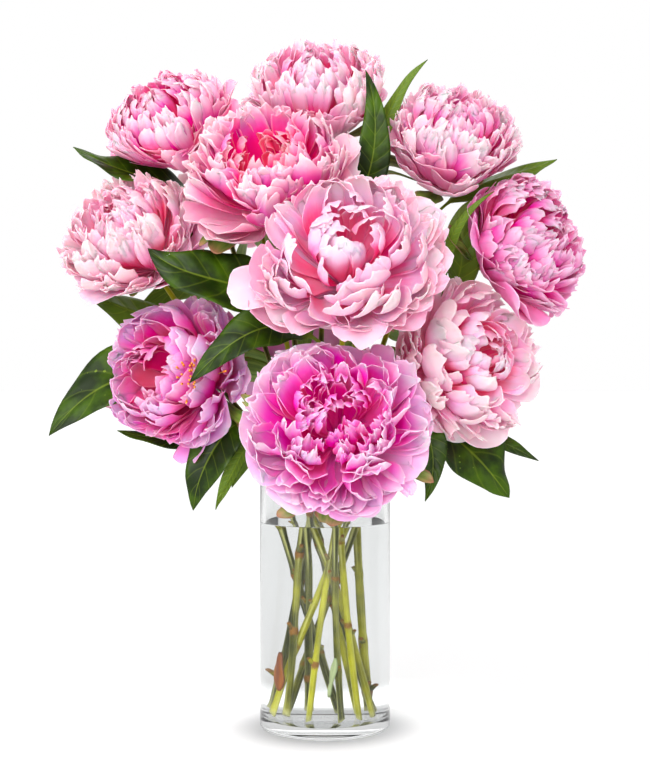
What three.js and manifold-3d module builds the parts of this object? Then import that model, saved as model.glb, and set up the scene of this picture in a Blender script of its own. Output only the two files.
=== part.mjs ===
// Peonies in a vase: a round bunch of thirteen double peonies with their leaves, standing in a
// clear glass cylinder three quarters full of water.
//
// Millimetres, +Z up, origin at the middle of the vase's underside. The front faces -Y.
// Names run top, upper, lower and left, right as seen from the front.
//
// The stems stand on the vase floor, cross at the waist of the bunch and fan out above the
// rim. Every bloom grows on the end of its stem: a bowl of guard petals with a ball of inner
// petals in it. Where two blooms press together they meet in a flat plane.

import * as THREE from "three";
import { mergeVertices } from "three/addons/utils/BufferGeometryUtils.js";
import Module from "manifold-3d";

const wasm = await Module();
wasm.setup();

// Driving dimensions -----------------------------------------------------------------------

const VASE_RADIUS = 51;
const VASE_HEIGHT = 203;
const VASE_WALL = 4;
const VASE_FLOOR = 9;
const VASE_FOOT_ROUND = 3.5;
const VASE_RIM_BEVEL = 1;
const VASE_SIDES = 40;
const WATER_LEVEL = 160;

const GAP = 0.3; // clearance between two pieces that touch
const SLIVER = 0.04; // detail finer than this is dropped after a cut
const MERGE_DISTANCE = 1e-4; // corners closer than this are one corner
const CUTTER_SIZE = 400; // edge of a block that cuts away one whole side of a bloom
const INNER_RADIUS = VASE_RADIUS - VASE_WALL;
const FLOOR_HEIGHT = VASE_FLOOR + GAP;

const STEM_SIDES = 6;
const STEM_SPARE = 1.6; // room kept between two stems that cross
const NECK_SHARE = 0.14; // share of a stem above the rim that bends to face as its bloom does
const STEM_LEVELS = 15; // levels at which crossing stems slide apart, floor to rim
const STEM_STEP = 18; // length of one straight piece of a stem
const STEM_OVERRUN = 0.25; // share of the lowest level that a stem runs on, under the floor
const HALVINGS = 30; // rounds of halving that find where a curve reaches a height
const SMALLEST_DISTANCE = 0.01; // taken for two stems whose middles fall together
const SETTLING_ROUNDS = 240; // rounds in which crossing stems slide apart
const SETTLING_EASE = 0.3; // how strongly each of those rounds straightens a stem
const RECEPTACLE_RADIUS = 6.5; // the green base under the petals
const RECEPTACLE_BACK = 8; // how far it starts behind the base of the petals
const RECEPTACLE_SHOULDER = 1.5; // where it reaches its full width, behind that base
const RECEPTACLE_FRONT = 2; // how far its flat end stands in front of that base
const RECEPTACLE_SIDES = 8;

const BOWL_SHARE = 0.56; // depth of a bloom's bowl as a share of its radius
const LIP_SHARE = 0.22; // how far the guard petals rise in front, as a share of its depth
const GUARD_THICKNESS = 7; // the layered guard petals taken together
const GUARD_LIP_INSET = 2; // how far their lip draws in from the widest ring
const BLOOM_SIDES = 14;
const PROFILE_STEPS = 3; // straight pieces in each quarter of a bloom's profile
const LEAF_THICKNESS = 1.2;
const LEAF_FOLD = 0.22; // rise of a blade's edge as a share of its half width
const LEAF_TIP = 0.5; // half width left at the very tip
const LEAF_LEAN = 0.8; // under 1, a blade is widest nearer its base than its tip
const LEAF_FULLNESS = 0.85; // under 1, its outline is fuller than the arch of a sine
const LEAF_SLOT_GAP = 0.5; // clearance of a leaf in the slot that it cuts through petals
const STALK_SHARE = 0.22; // share of a leaf's length that is stalk
const PETIOLE_WIDTH = 2.6;
const LEAF_STEPS = 8;

const CLEAR_GLASS = { color: "#dfe8e6", roughness: 0.05 };
const CLEAR_WATER = { color: "#cfe0d8", roughness: 0.05 };
const STEM_GREEN = { color: "#7d8f2e", roughness: 0.5 };
const LEAF_GREEN = { color: "#2f5a1d", roughness: 0.45 };
const PETAL_ROUGHNESS = 0.6;
const BLOOM_PINKS = {
  pale: { guard: "#efc3d6", inner: "#f3cdd8" },
  rose: { guard: "#e6a2c0", inner: "#e58fae" },
  hot: { guard: "#dd8fc4", inner: "#dd5f9f" },
};

// One entry a bloom. centre is the middle of its widest ring, faces the way it looks, radius
// that ring's, and depth how far the ball rises in front of the ring. foot, waist and mouth
// are where its stem stands on the floor, crosses and leaves the vase.
const BLOOMS = [
  {
    name: "top", pink: "rose", centre: [-6, 10, 496], faces: [-0.08, -0.6, 0.8],
    radius: 61, depth: 42, stem: 4.4,
    foot: [-23, 0], waist: [-18, -2, 105], mouth: [-8, 2, 195],
  },
  {
    name: "upper_left", pink: "rose", centre: [-121, 8, 471], faces: [-0.4, -0.65, 0.65],
    radius: 56, depth: 41, stem: 4.0,
    foot: [25, 18], waist: [6, 10, 105], mouth: [-16, 12, 195],
  },
  {
    name: "upper_centre", pink: "rose", centre: [-41, -44, 428], faces: [-0.1, -0.75, 0.65],
    radius: 70, depth: 48, stem: 4.5,
    foot: [-8, 25], waist: [-5, 6, 105], mouth: [-12, -12, 195],
  },
  {
    name: "left", pink: "pale", centre: [-149, -5, 383], faces: [-0.35, -0.7, 0.62],
    radius: 62, depth: 44, stem: 4.2,
    foot: [29, -2], waist: [13, -3, 115], mouth: [-20, -4, 195],
  },
  {
    name: "centre", pink: "pale", centre: [15, -92, 359], faces: [0, -0.92, 0.4],
    radius: 72, depth: 48, stem: 4.7,
    foot: [22, -15], waist: [9, -13, 100], mouth: [8, -20, 195],
  },
  {
    name: "upper_right", pink: "rose", centre: [101, 3, 456], faces: [0.25, -0.62, 0.74],
    radius: 58, depth: 46, stem: 4.2,
    foot: [-11, -22], waist: [-4, -17, 100], mouth: [12, -8, 195],
  },
  {
    name: "right", pink: "rose", centre: [156, 0, 377], faces: [0.72, -0.6, 0.35],
    radius: 63, depth: 41, stem: 4.4,
    foot: [-32, 0], waist: [-8, 3, 108], mouth: [25, 8, 195],
  },
  {
    name: "lower_right", pink: "pale", centre: [111, -15, 288], faces: [0.6, -0.78, 0.17],
    radius: 68, depth: 43, stem: 4.2,
    foot: [-19, 24], waist: [0, 14, 105], mouth: [27, -6, 195],
  },
  {
    name: "lower_left", pink: "hot", centre: [-116, -10, 275], faces: [-0.6, -0.78, 0.17],
    radius: 65, depth: 43, stem: 4.2,
    foot: [7, 25], waist: [-12, 12, 98], mouth: [-31, 6, 195],
  },
  {
    name: "bottom_centre", pink: "hot", centre: [8, -97, 241], faces: [-0.05, -0.93, 0.35],
    radius: 69, depth: 46, stem: 4.7,
    foot: [11, -24], waist: [2, -27, 80], mouth: [8, -35, 195],
  },
  {
    name: "back_upper", pink: "rose", centre: [-75, 80, 430], faces: [-0.35, 0.75, 0.55],
    radius: 55, depth: 40, stem: 4.0,
    foot: [18, 12], waist: [2, 16, 100], mouth: [-10, 24, 195],
  },
  {
    name: "back_centre", pink: "pale", centre: [42, 86, 380], faces: [0.2, 0.87, 0.45],
    radius: 60, depth: 42, stem: 4.2,
    foot: [21, 27], waist: [20, 10, 85], mouth: [15, 18, 195],
  },
  {
    name: "back_lower", pink: "hot", centre: [-18, 86, 285], faces: [-0.15, 0.92, 0.3],
    radius: 58, depth: 42, stem: 4.2,
    foot: [-27, 20], waist: [-10, 22, 105], mouth: [-3, 34, 195],
  },
];

// One entry a leaf: the stem it grows on and the height there, the points its midrib passes,
// the last being its tip, its width, and the way its upper face looks.
const LEAVES = [
  {
    name: "upper_left", stem: "upper_left", height: 418, width: 19, faces: [0.1, -0.6, 0.8],
    midrib: [[-118, 26, 428], [-150, 12, 433], [-199, 8, 455]],
  },
  {
    name: "mid_left", stem: "left", height: 292, width: 20, faces: [0, -0.8, 0.6],
    midrib: [[-122, 42, 314], [-157, 34, 326], [-193, 26, 343]],
  },
  {
    name: "lower_left_broad", stem: "lower_left", height: 242, width: 40, faces: [-0.2, -0.85, 0.5],
    midrib: [[-120, 38, 268], [-162, 22, 272], [-216, -2, 230]],
  },
  {
    name: "lower_left_low", stem: "lower_left", height: 222, width: 19, faces: [0, -0.7, 0.7],
    midrib: [[-92, 14, 224], [-125, 10, 224], [-163, 0, 231]],
  },
  {
    name: "hanging_left", stem: "lower_left", height: 230, width: 27, faces: [-0.3, -0.95, 0.1],
    midrib: [[-68, -18, 238], [-88, -26, 213], [-102, -22, 173]],
  },
  {
    name: "hanging_left_thin", stem: "lower_left", height: 214, width: 11, faces: [0.6, -0.8, 0],
    midrib: [[-58, -14, 224], [-70, -24, 204], [-84, -24, 173]],
  },
  {
    name: "across_left", stem: "upper_centre", height: 318, width: 40, faces: [-0.1, -0.88, 0.45],
    midrib: [[-52, -34, 338], [-92, -52, 348], [-133, -56, 368]],
  },
  {
    name: "across_lower_left", stem: "centre", height: 286, width: 28, faces: [-0.2, -0.9, 0.4],
    midrib: [[-28, -50, 312], [-62, -66, 302], [-99, -68, 270]],
  },
  {
    name: "upright", stem: "top", height: 372, width: 23, faces: [0.1, -0.98, 0.15],
    midrib: [[26, -8, 412], [38, -26, 448], [33, -40, 506]],
  },
  {
    name: "upright_thin", stem: "top", height: 404, width: 10, faces: [-0.5, -0.8, 0.3],
    midrib: [[32, 8, 434], [46, -4, 474], [78, -6, 523]],
  },
  {
    name: "upper_right", stem: "upper_right", height: 396, width: 17, faces: [0, -0.7, 0.7],
    midrib: [[112, 46, 424], [150, 38, 436], [186, 22, 447]],
  },
  {
    name: "gap_right_pale", stem: "right", height: 312, width: 9, faces: [-0.6, -0.75, 0.3],
    midrib: [[90, -14, 352], [97, -32, 383], [126, -38, 415]],
  },
  {
    name: "gap_right_dark", stem: "right", height: 330, width: 24, faces: [-0.1, -0.95, 0.3],
    midrib: [[108, 4, 362], [106, -4, 390], [112, -8, 412]],
  },
  {
    name: "hanging_right", stem: "lower_right", height: 236, width: 19, faces: [0.1, -0.95, 0.3],
    midrib: [[72, -20, 240], [82, -30, 216], [77, -32, 180]],
  },
  {
    name: "lower_right_broad", stem: "lower_right", height: 248, width: 31, faces: [0.4, -0.8, 0.5],
    midrib: [[86, 4, 236], [116, -4, 212], [144, -6, 180]],
  },
  {
    name: "lower_right_long", stem: "lower_right", height: 260, width: 15, faces: [0.2, -0.75, 0.6],
    midrib: [[100, 22, 240], [134, 16, 225], [169, 8, 208]],
  },
  {
    name: "back_right", stem: "back_centre", height: 300, width: 34, faces: [0.3, 0.9, 0.35],
    midrib: [[84, 74, 318], [118, 84, 306], [150, 80, 262]],
  },
  {
    name: "back_left", stem: "back_upper", height: 316, width: 34, faces: [-0.3, 0.9, 0.35],
    midrib: [[-86, 76, 352], [-124, 82, 350], [-162, 72, 318]],
  },
  {
    name: "back_low", stem: "back_lower", height: 226, width: 26, faces: [-0.3, 0.85, 0.5],
    midrib: [[-40, 62, 226], [-62, 84, 212], [-78, 92, 182]],
  },
];

// Small helpers ----------------------------------------------------------------------------

const vector = (values) => new THREE.Vector3(...values);

/** A closed three.js geometry as a solid that can be cut. */
function toSolid(geometry) {
  const bare = geometry.clone();
  bare.deleteAttribute("normal");
  bare.deleteAttribute("uv");
  const merged = mergeVertices(bare, MERGE_DISTANCE);
  return new wasm.Manifold(
    new wasm.Mesh({
      numProp: 3,
      vertProperties: new Float32Array(merged.attributes.position.array),
      triVerts: new Uint32Array(merged.index.array),
    }),
  );
}

/** A solid as a flat-shaded three.js geometry, without the slivers that cuts leave. */
function toGeometry(solid) {
  const mesh = solid.simplify(SLIVER).getMesh();
  const indexed = new THREE.BufferGeometry();
  indexed.setAttribute("position", new THREE.BufferAttribute(mesh.vertProperties, 3));
  indexed.setIndex(new THREE.BufferAttribute(mesh.triVerts, 1));
  const geometry = indexed.toNonIndexed();
  geometry.computeVertexNormals();
  return geometry;
}

/** The largest piece of a solid that a cut may have parted. */
function largestPiece(solid) {
  const pieces = solid.decompose();
  return pieces.reduce((best, piece) => (piece.volume() > best.volume() ? piece : best));
}

/** A solid as a named mesh with its own material. */
function makeMesh(name, solid, { color, roughness }) {
  const material = new THREE.MeshStandardMaterial({ color, roughness, metalness: 0 });
  const mesh = new THREE.Mesh(toGeometry(solid), material);
  mesh.name = name;
  return mesh;
}

// Stems ------------------------------------------------------------------------------------

/** The point of a bloom where its petals start, on its axis behind the widest ring. */
function bloomBase(bloom) {
  const axis = vector(bloom.faces).normalize();
  return vector(bloom.centre).addScaledVector(axis, -bowlDepth(bloom));
}

/** How deep a bloom's bowl of guard petals is behind its widest ring. */
function bowlDepth(bloom) {
  return BOWL_SHARE * bloom.radius;
}

/** The smooth route of one stem before it makes room for the others. */
function freeRoute(bloom) {
  const axis = vector(bloom.faces).normalize();
  const base = bloomBase(bloom);
  const reach = NECK_SHARE * base.distanceTo(vector(bloom.mouth));
  return new THREE.CatmullRomCurve3(
    [
      new THREE.Vector3(bloom.foot[0], bloom.foot[1], FLOOR_HEIGHT),
      vector(bloom.waist),
      vector(bloom.mouth),
      base.clone().addScaledVector(axis, -reach),
      base,
    ],
    false,
    "centripetal",
  );
}

/** The height of each level, from the floor to the rim. */
function levelHeight(level) {
  return FLOOR_HEIGHT + ((VASE_HEIGHT - FLOOR_HEIGHT) * level) / (STEM_LEVELS - 1);
}

/** The point where a curve that climbs all the way reaches a height. */
function pointAtHeight(curve, height) {
  let low = 0;
  let high = 1;
  for (let halving = 0; halving < HALVINGS; halving += 1) {
    const middle = (low + high) / 2;
    if (curve.getPoint(middle).z < height) low = middle;
    else high = middle;
  }
  return curve.getPoint(low);
}

/** Pushes two stems apart at one level, where they lie closer than their thickness. */
function pushApart(first, second, room) {
  const between = new THREE.Vector2(second.x - first.x, second.y - first.y);
  const distance = Math.max(between.length(), SMALLEST_DISTANCE);
  if (distance >= room) return;
  between.multiplyScalar((room - distance) / (2 * distance));
  first.x -= between.x;
  first.y -= between.y;
  second.x += between.x;
  second.y += between.y;
}

/** Keeps a stem inside the glass at one level. */
function keepInside(point, stemRadius) {
  const limit = INNER_RADIUS - stemRadius - 2 * GAP;
  const out = Math.hypot(point.x, point.y);
  if (out > limit) {
    point.x *= limit / out;
    point.y *= limit / out;
  }
}

/**
 * Lets the stems slide past each other inside the vase. Each stem is a column of points, one
 * a level. In turn each column is smoothed, and points of two stems that are too close move
 * apart sideways, so that crossing stems wind round each other.
 */
function settleStems(blooms) {
  const columns = blooms.map((bloom) => {
    const curve = freeRoute(bloom);
    return Array.from({ length: STEM_LEVELS }, (_, level) => {
      const point = pointAtHeight(curve, levelHeight(level));
      point.z = levelHeight(level);
      return point;
    });
  });
  for (let round = 0; round < SETTLING_ROUNDS; round += 1) {
    const smoothing = SETTLING_EASE * (1 - round / SETTLING_ROUNDS);
    columns.forEach((column) => {
      for (let level = 1; level < STEM_LEVELS - 1; level += 1) {
        const middle = column[level - 1].clone().add(column[level + 1]).multiplyScalar(0.5);
        column[level].x += smoothing * (middle.x - column[level].x);
        column[level].y += smoothing * (middle.y - column[level].y);
      }
    });
    for (let a = 0; a < blooms.length; a += 1) {
      for (let b = a + 1; b < blooms.length; b += 1) {
        const room = (blooms[a].stem + blooms[b].stem) / 2 + STEM_SPARE;
        columns[a].forEach((point, level) => pushApart(point, columns[b][level], room));
      }
      columns[a].forEach((point) => keepInside(point, blooms[a].stem / 2));
    }
  }
  return columns;
}

/** The settled centre line of one stem, from under the floor to the base of its bloom. */
function stemCurve(bloom, column) {
  const axis = vector(bloom.faces).normalize();
  const base = bloomBase(bloom);
  const rim = column[column.length - 1];
  const reach = NECK_SHARE * base.distanceTo(rim);
  const approach = base.clone().addScaledVector(axis, -reach);
  const foot = column[0].clone().lerp(column[1], -STEM_OVERRUN); // the floor trims it
  const points = [foot, ...column.slice(1), approach, base];
  return new THREE.CatmullRomCurve3(points, false, "centripetal");
}

/** A closed tube of a few flat sides along a curve. */
function tube(curve, radius, steps) {
  const section = new THREE.Shape();
  for (let side = 0; side < STEM_SIDES; side += 1) {
    const angle = (2 * Math.PI * side) / STEM_SIDES;
    const corner = [radius * Math.cos(angle), radius * Math.sin(angle)];
    if (side === 0) section.moveTo(...corner);
    else section.lineTo(...corner);
  }
  section.closePath();
  return toSolid(new THREE.ExtrudeGeometry(section, { steps, extrudePath: curve }));
}

/** A closed turned shape whose profile of [radius, height] is turned about an axis. */
function turned(profile, sides, origin, axis) {
  const points = profile.map(([radius, height]) => new THREE.Vector2(radius, height));
  const geometry = new THREE.LatheGeometry(points, sides);
  const turn = new THREE.Quaternion().setFromUnitVectors(new THREE.Vector3(0, 1, 0), axis);
  geometry.applyQuaternion(turn);
  geometry.translate(origin.x, origin.y, origin.z);
  return toSolid(geometry);
}

/** The green cone of receptacle and sepals, from the stem's end to the petals. */
function receptacle(bloom, radius, spare) {
  const axis = vector(bloom.faces).normalize();
  const full = RECEPTACLE_RADIUS + spare;
  const back = -RECEPTACLE_BACK - spare;
  const front = RECEPTACLE_FRONT + spare;
  const profile = [
    [0, back],
    [radius + spare, back],
    [full, -RECEPTACLE_SHOULDER],
    [full, front],
    [0, front],
  ];
  return turned(profile, RECEPTACLE_SIDES, bloomBase(bloom), axis);
}

/** Everything under the level of the vase floor, to cut the stems' feet flat. */
function underFloor() {
  const slab = new THREE.BoxGeometry(2 * VASE_RADIUS, 2 * VASE_RADIUS, VASE_FLOOR);
  slab.translate(0, 0, FLOOR_HEIGHT - VASE_FLOOR / 2);
  return toSolid(slab);
}

/** One stem with its receptacle. spare makes it fatter, to cut its way through others. */
function stemSolid(bloom, curve, spare) {
  const radius = bloom.stem / 2;
  const steps = Math.round(curve.getLength() / STEM_STEP);
  return tube(curve, radius + spare, steps).add(receptacle(bloom, radius, spare));
}

// Blooms -----------------------------------------------------------------------------------

/** A quarter of an ellipse as profile points, from the axis out to the ring or back. */
function quarter(radius, depth, count, inward) {
  return Array.from({ length: count }, (_, index) => {
    const part = inward ? count - index : index;
    const angle = (Math.PI / 2) * (part / count);
    return [radius * Math.sin(angle), depth * Math.cos(angle)];
  });
}

/** The outer shape of a bloom: a shallow bowl below the widest ring and a dome above it. */
function bloomProfile(radius, bowl, dome) {
  const below = quarter(radius, -bowl, PROFILE_STEPS, false);
  const above = quarter(radius, dome, PROFILE_STEPS, true);
  return [...below, ...above, [0, dome]];
}

/** The bowl of guard petals: from the base up past the widest ring, open in front. */
function guardSolid(bloom) {
  const axis = vector(bloom.faces).normalize();
  const bowl = bowlDepth(bloom);
  const inside = bloom.radius - GUARD_THICKNESS;
  const lip = LIP_SHARE * bloom.depth;
  const outer = quarter(bloom.radius, -bowl, PROFILE_STEPS, false);
  const inner = quarter(inside, -(bowl - GUARD_THICKNESS), PROFILE_STEPS, true);
  const profile = [
    ...outer,
    [bloom.radius, 0],
    [bloom.radius - GUARD_LIP_INSET, lip],
    [inside, lip],
    ...inner,
    [0, -(bowl - GUARD_THICKNESS)],
  ];
  return turned(profile, BLOOM_SIDES, vector(bloom.centre), axis);
}

/** The ball of inner petals, which fills the bowl and rises in front of it. */
function innerSolid(bloom) {
  const axis = vector(bloom.faces).normalize();
  const inside = bloom.radius - GUARD_THICKNESS - GAP;
  const bowl = bowlDepth(bloom) - GUARD_THICKNESS - GAP;
  return turned(bloomProfile(inside, bowl, bloom.depth), BLOOM_SIDES, vector(bloom.centre), axis);
}

/** A slab that holds everything on the far side of the plane where two blooms press. */
function beyondPlane(bloom, other) {
  const from = vector(bloom.centre);
  const to = vector(other.centre);
  const distance = from.distanceTo(to);
  const towards = to.clone().sub(from).normalize();
  const share = (distance ** 2 + bloom.radius ** 2 - other.radius ** 2) / (2 * distance);
  const slab = new THREE.BoxGeometry(CUTTER_SIZE, CUTTER_SIZE, CUTTER_SIZE);
  slab.translate(0, 0, CUTTER_SIZE / 2 + share - GAP / 2);
  slab.applyQuaternion(
    new THREE.Quaternion().setFromUnitVectors(new THREE.Vector3(0, 0, 1), towards),
  );
  slab.translate(from.x, from.y, from.z);
  return toSolid(slab);
}

/** Cuts a bloom's solid where neighbours press on it and where stems and leaves pass. */
function fitBloom(solid, bloom, passing) {
  let fitted = solid;
  for (const other of BLOOMS) {
    const distance = vector(bloom.centre).distanceTo(vector(other.centre));
    if (other !== bloom && distance < bloom.radius + other.radius) {
      fitted = fitted.subtract(beyondPlane(bloom, other));
    }
  }
  for (const thing of passing) {
    fitted = fitted.subtract(thing);
  }
  return largestPiece(fitted);
}

// Leaves -----------------------------------------------------------------------------------

/** A leaf's half width along its length: a narrow stalk, then a blade widest before half. */
function leafHalfWidth(part, width) {
  if (part <= STALK_SHARE) return PETIOLE_WIDTH / 2;
  const along = (part - STALK_SHARE) / (1 - STALK_SHARE);
  const blade = Math.sin(Math.PI * along ** LEAF_LEAN) ** LEAF_FULLNESS;
  return Math.max((width / 2) * blade, (PETIOLE_WIDTH / 2) * (1 - along), LEAF_TIP);
}

/**
 * A leaf is a flat bar bent onto its midrib. Across, it folds up along the midrib like a
 * shallow gutter. spare makes it thicker and wider, to cut its way through others.
 */
function leafSolid(leaf, curve, spare) {
  const bar = new THREE.BoxGeometry(2, 1, 1, 2, LEAF_STEPS, 1);
  const position = bar.attributes.position;
  const upper = vector(leaf.faces).normalize();
  for (let index = 0; index < position.count; index += 1) {
    const across = position.getX(index);
    const part = position.getY(index) + 0.5;
    const lift = position.getZ(index) * (LEAF_THICKNESS + 2 * spare);
    const centre = curve.getPointAt(part);
    const along = curve.getTangentAt(part);
    const side = along.clone().cross(upper).normalize();
    const face = side.clone().cross(along).normalize();
    const half = leafHalfWidth(part, leaf.width) + spare;
    const fold = LEAF_FOLD * Math.abs(across) * (half - PETIOLE_WIDTH / 2);
    centre.addScaledVector(side, across * half);
    centre.addScaledVector(face, lift + Math.max(fold, 0));
    position.setXYZ(index, centre.x, centre.y, centre.z);
  }
  return toSolid(bar);
}

/** A leaf's midrib, starting inside the stem that it grows on. */
function leafCurve(leaf, stemCurves) {
  const root = pointAtHeight(stemCurves.get(leaf.stem), leaf.height);
  return new THREE.CatmullRomCurve3([root, ...leaf.midrib.map(vector)], false, "centripetal");
}

// Vase and water ---------------------------------------------------------------------------

/** The vase's wall and floor as one turned profile with rounded foot and rim. */
function vaseSolid() {
  const round = VASE_FOOT_ROUND;
  const inset = round * (1 - Math.SQRT1_2);
  const bevel = VASE_RIM_BEVEL;
  const profile = [
    [0, 0],
    [VASE_RADIUS - round, 0],
    [VASE_RADIUS - inset, inset],
    [VASE_RADIUS, round],
    [VASE_RADIUS, VASE_HEIGHT - bevel],
    [VASE_RADIUS - bevel, VASE_HEIGHT],
    [INNER_RADIUS + bevel, VASE_HEIGHT],
    [INNER_RADIUS, VASE_HEIGHT - bevel],
    [INNER_RADIUS, VASE_FLOOR + round],
    [INNER_RADIUS - inset, VASE_FLOOR + inset],
    [INNER_RADIUS - round, VASE_FLOOR],
    [0, VASE_FLOOR],
  ];
  return turned(profile, VASE_SIDES, new THREE.Vector3(), new THREE.Vector3(0, 0, 1));
}

/** The water, a disc-like body with a channel round each stem. */
function waterSolid(stemChannels) {
  const radius = INNER_RADIUS - GAP;
  const round = VASE_FOOT_ROUND;
  const profile = [
    [0, FLOOR_HEIGHT],
    [radius - round, FLOOR_HEIGHT],
    [radius, FLOOR_HEIGHT + round],
    [radius, WATER_LEVEL],
    [0, WATER_LEVEL],
  ];
  let water = turned(profile, VASE_SIDES, new THREE.Vector3(), new THREE.Vector3(0, 0, 1));
  for (const channel of stemChannels) {
    water = water.subtract(channel);
  }
  return largestPiece(water);
}

// Assembly ---------------------------------------------------------------------------------

const arrangement = new THREE.Group();

const columns = settleStems(BLOOMS);
const stemCurves = new Map(
  BLOOMS.map((bloom, index) => [bloom.name, stemCurve(bloom, columns[index])]),
);
const stems = BLOOMS.map((bloom) =>
  stemSolid(bloom, stemCurves.get(bloom.name), 0).subtract(underFloor()),
);
const stemChannels = BLOOMS.map((bloom) => stemSolid(bloom, stemCurves.get(bloom.name), GAP));

arrangement.add(makeMesh("vase", vaseSolid(), CLEAR_GLASS));
arrangement.add(makeMesh("water", waterSolid(stemChannels), CLEAR_WATER));

BLOOMS.forEach((bloom, index) => {
  arrangement.add(makeMesh(`stem_${bloom.name}`, stems[index], STEM_GREEN));
});

const leafSlots = [];
for (const leaf of LEAVES) {
  const curve = leafCurve(leaf, stemCurves);
  let solid = leafSolid(leaf, curve, 0);
  for (const channel of stemChannels) {
    solid = solid.subtract(channel);
  }
  leafSlots.push(leafSolid(leaf, curve, LEAF_SLOT_GAP));
  arrangement.add(makeMesh(`leaf_${leaf.name}`, largestPiece(solid), LEAF_GREEN));
}

const passing = [...stemChannels, ...leafSlots];
for (const bloom of BLOOMS) {
  const pink = BLOOM_PINKS[bloom.pink];
  const guardFinish = { color: pink.guard, roughness: PETAL_ROUGHNESS };
  const innerFinish = { color: pink.inner, roughness: PETAL_ROUGHNESS };
  const guard = fitBloom(guardSolid(bloom), bloom, passing);
  const inner = fitBloom(innerSolid(bloom), bloom, passing);
  arrangement.add(makeMesh(`guard_petals_${bloom.name}`, guard, guardFinish));
  arrangement.add(makeMesh(`inner_petals_${bloom.name}`, inner, innerFinish));
}

export default arrangement;
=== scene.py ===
"""Thirteen double peonies in a glass cylinder of water: petals, leaves, stems and glass.

Metres, +Z up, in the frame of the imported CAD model. The front of the bunch faces -Y.

Every bloom, stem and leaf is measured on its own CAD node first, so the fine surfaces made
here stand where the solids stand. The petals, blades and tubes are grids of points worked
out by formula, each given a thickness and closed round its edge.
"""

import logging
import math
from dataclasses import dataclass, field, replace
from enum import Enum
from typing import Callable, Optional, Union

import bpy
import numpy as np
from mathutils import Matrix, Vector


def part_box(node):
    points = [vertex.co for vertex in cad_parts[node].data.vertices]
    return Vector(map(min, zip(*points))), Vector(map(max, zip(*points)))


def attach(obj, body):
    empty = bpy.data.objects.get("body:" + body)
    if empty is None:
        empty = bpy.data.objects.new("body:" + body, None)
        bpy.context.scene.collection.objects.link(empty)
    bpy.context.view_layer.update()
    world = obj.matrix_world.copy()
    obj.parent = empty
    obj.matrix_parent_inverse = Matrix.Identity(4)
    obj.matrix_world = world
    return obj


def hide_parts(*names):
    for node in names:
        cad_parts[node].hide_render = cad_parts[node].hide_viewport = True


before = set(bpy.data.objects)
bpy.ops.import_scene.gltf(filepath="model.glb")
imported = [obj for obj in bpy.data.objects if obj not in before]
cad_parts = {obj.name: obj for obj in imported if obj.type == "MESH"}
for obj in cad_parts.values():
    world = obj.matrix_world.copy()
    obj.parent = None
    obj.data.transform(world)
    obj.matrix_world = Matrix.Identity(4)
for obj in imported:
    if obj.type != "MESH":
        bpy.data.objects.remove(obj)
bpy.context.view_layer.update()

logging.basicConfig(level=logging.INFO, format="%(message)s")
LOG = logging.getLogger("peonies")

MM = 0.001
BODY = "root"
FULL_TURN = 2 * math.pi
GOLDEN_ANGLE = math.pi * (3 - math.sqrt(5))
TINY = 1e-12  # keeps a division from meeting 0
UP = np.array([0.0, 0.0, 1.0])
BOWL_SHARE = 0.56  # depth of a bloom's bowl as a share of its radius
CAP_LIFT = 2 * MM  # how far a stem's flat cap stands in front of the bloom's base
SOLID_GAP = 0.3 * MM  # gap that the CAD keeps between two pieces
BULGE = 5 * MM  # how far a bloom presses into the one behind it

Plane = tuple[np.ndarray, np.ndarray]  # an origin, and the normal that points to the neighbour
Profile = list[tuple[float, float]]  # points of (radius, height)
Socket = bpy.types.NodeSocket
Value = Union[float, str, tuple, Socket]  # a number, a hex code, a vector or a link


# Numbers and curves --------------------------------------------------------------------------


def unit(vectors: np.ndarray) -> np.ndarray:
    """Vectors of length one, along the last axis."""
    return vectors / np.maximum(np.linalg.norm(vectors, axis=-1, keepdims=True), TINY)


def smooth(value: np.ndarray, low: float, high: float) -> np.ndarray:
    """Rises from 0 at low to 1 at high along the curve 3x^2 - 2x^3."""
    share = np.clip((value - low) / (high - low), 0, 1)
    return share * share * (3 - 2 * share)


def hump(value: np.ndarray, width: Union[float, np.ndarray]) -> np.ndarray:
    """The bell exp(-(value / width)^2), 1 in its middle."""
    return np.exp(-((value / width) ** 2))


def colour(code: str) -> tuple[float, float, float, float]:
    """A hex code such as #f6d3e0 as a linear colour with alpha 1, by the sRGB curve."""
    parts = [int(code[i : i + 2], 16) / 255 for i in (1, 3, 5)]
    return (*[p / 12.92 if p <= 0.04045 else ((p + 0.055) / 1.055) ** 2.4 for p in parts], 1.0)


def bezier(knots: list[np.ndarray], share: np.ndarray) -> np.ndarray:
    """Places on a cubic Bezier curve.

    (1-s)^3 a + 3 (1-s)^2 s b + 3 (1-s) s^2 c + s^3 d for the knots a, b, c and d.

    Args:
        knots: The four knots.
        share: Shares s of the way along it.

    Returns:
        The places.
    """
    rest = 1 - share
    weights = (rest**3, 3 * rest**2 * share, 3 * rest * share**2, share**3)
    return sum(weight * knot for weight, knot in zip(weights, knots))


def bezier_way(knots: list[np.ndarray], share: np.ndarray) -> np.ndarray:
    """A third of the slope of that curve: (1-s)^2 (b-a) + 2 (1-s) s (c-b) + s^2 (d-c).

    Args:
        knots: The four knots.
        share: Shares s of the way along it.

    Returns:
        The directions, not yet of length one.
    """
    rest = 1 - share
    weights = (rest**2, 2 * rest * share, share**2)
    return sum(weight * (after - knot) for weight, knot, after in zip(weights, knots, knots[1:]))


def sampled(line: np.ndarray, measure: np.ndarray, wanted: np.ndarray) -> np.ndarray:
    """Places on a line (K, 3) where a measure that rises along it has the wanted values."""
    return np.stack([np.interp(wanted, measure, line[:, i]) for i in range(3)], axis=-1)


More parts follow.
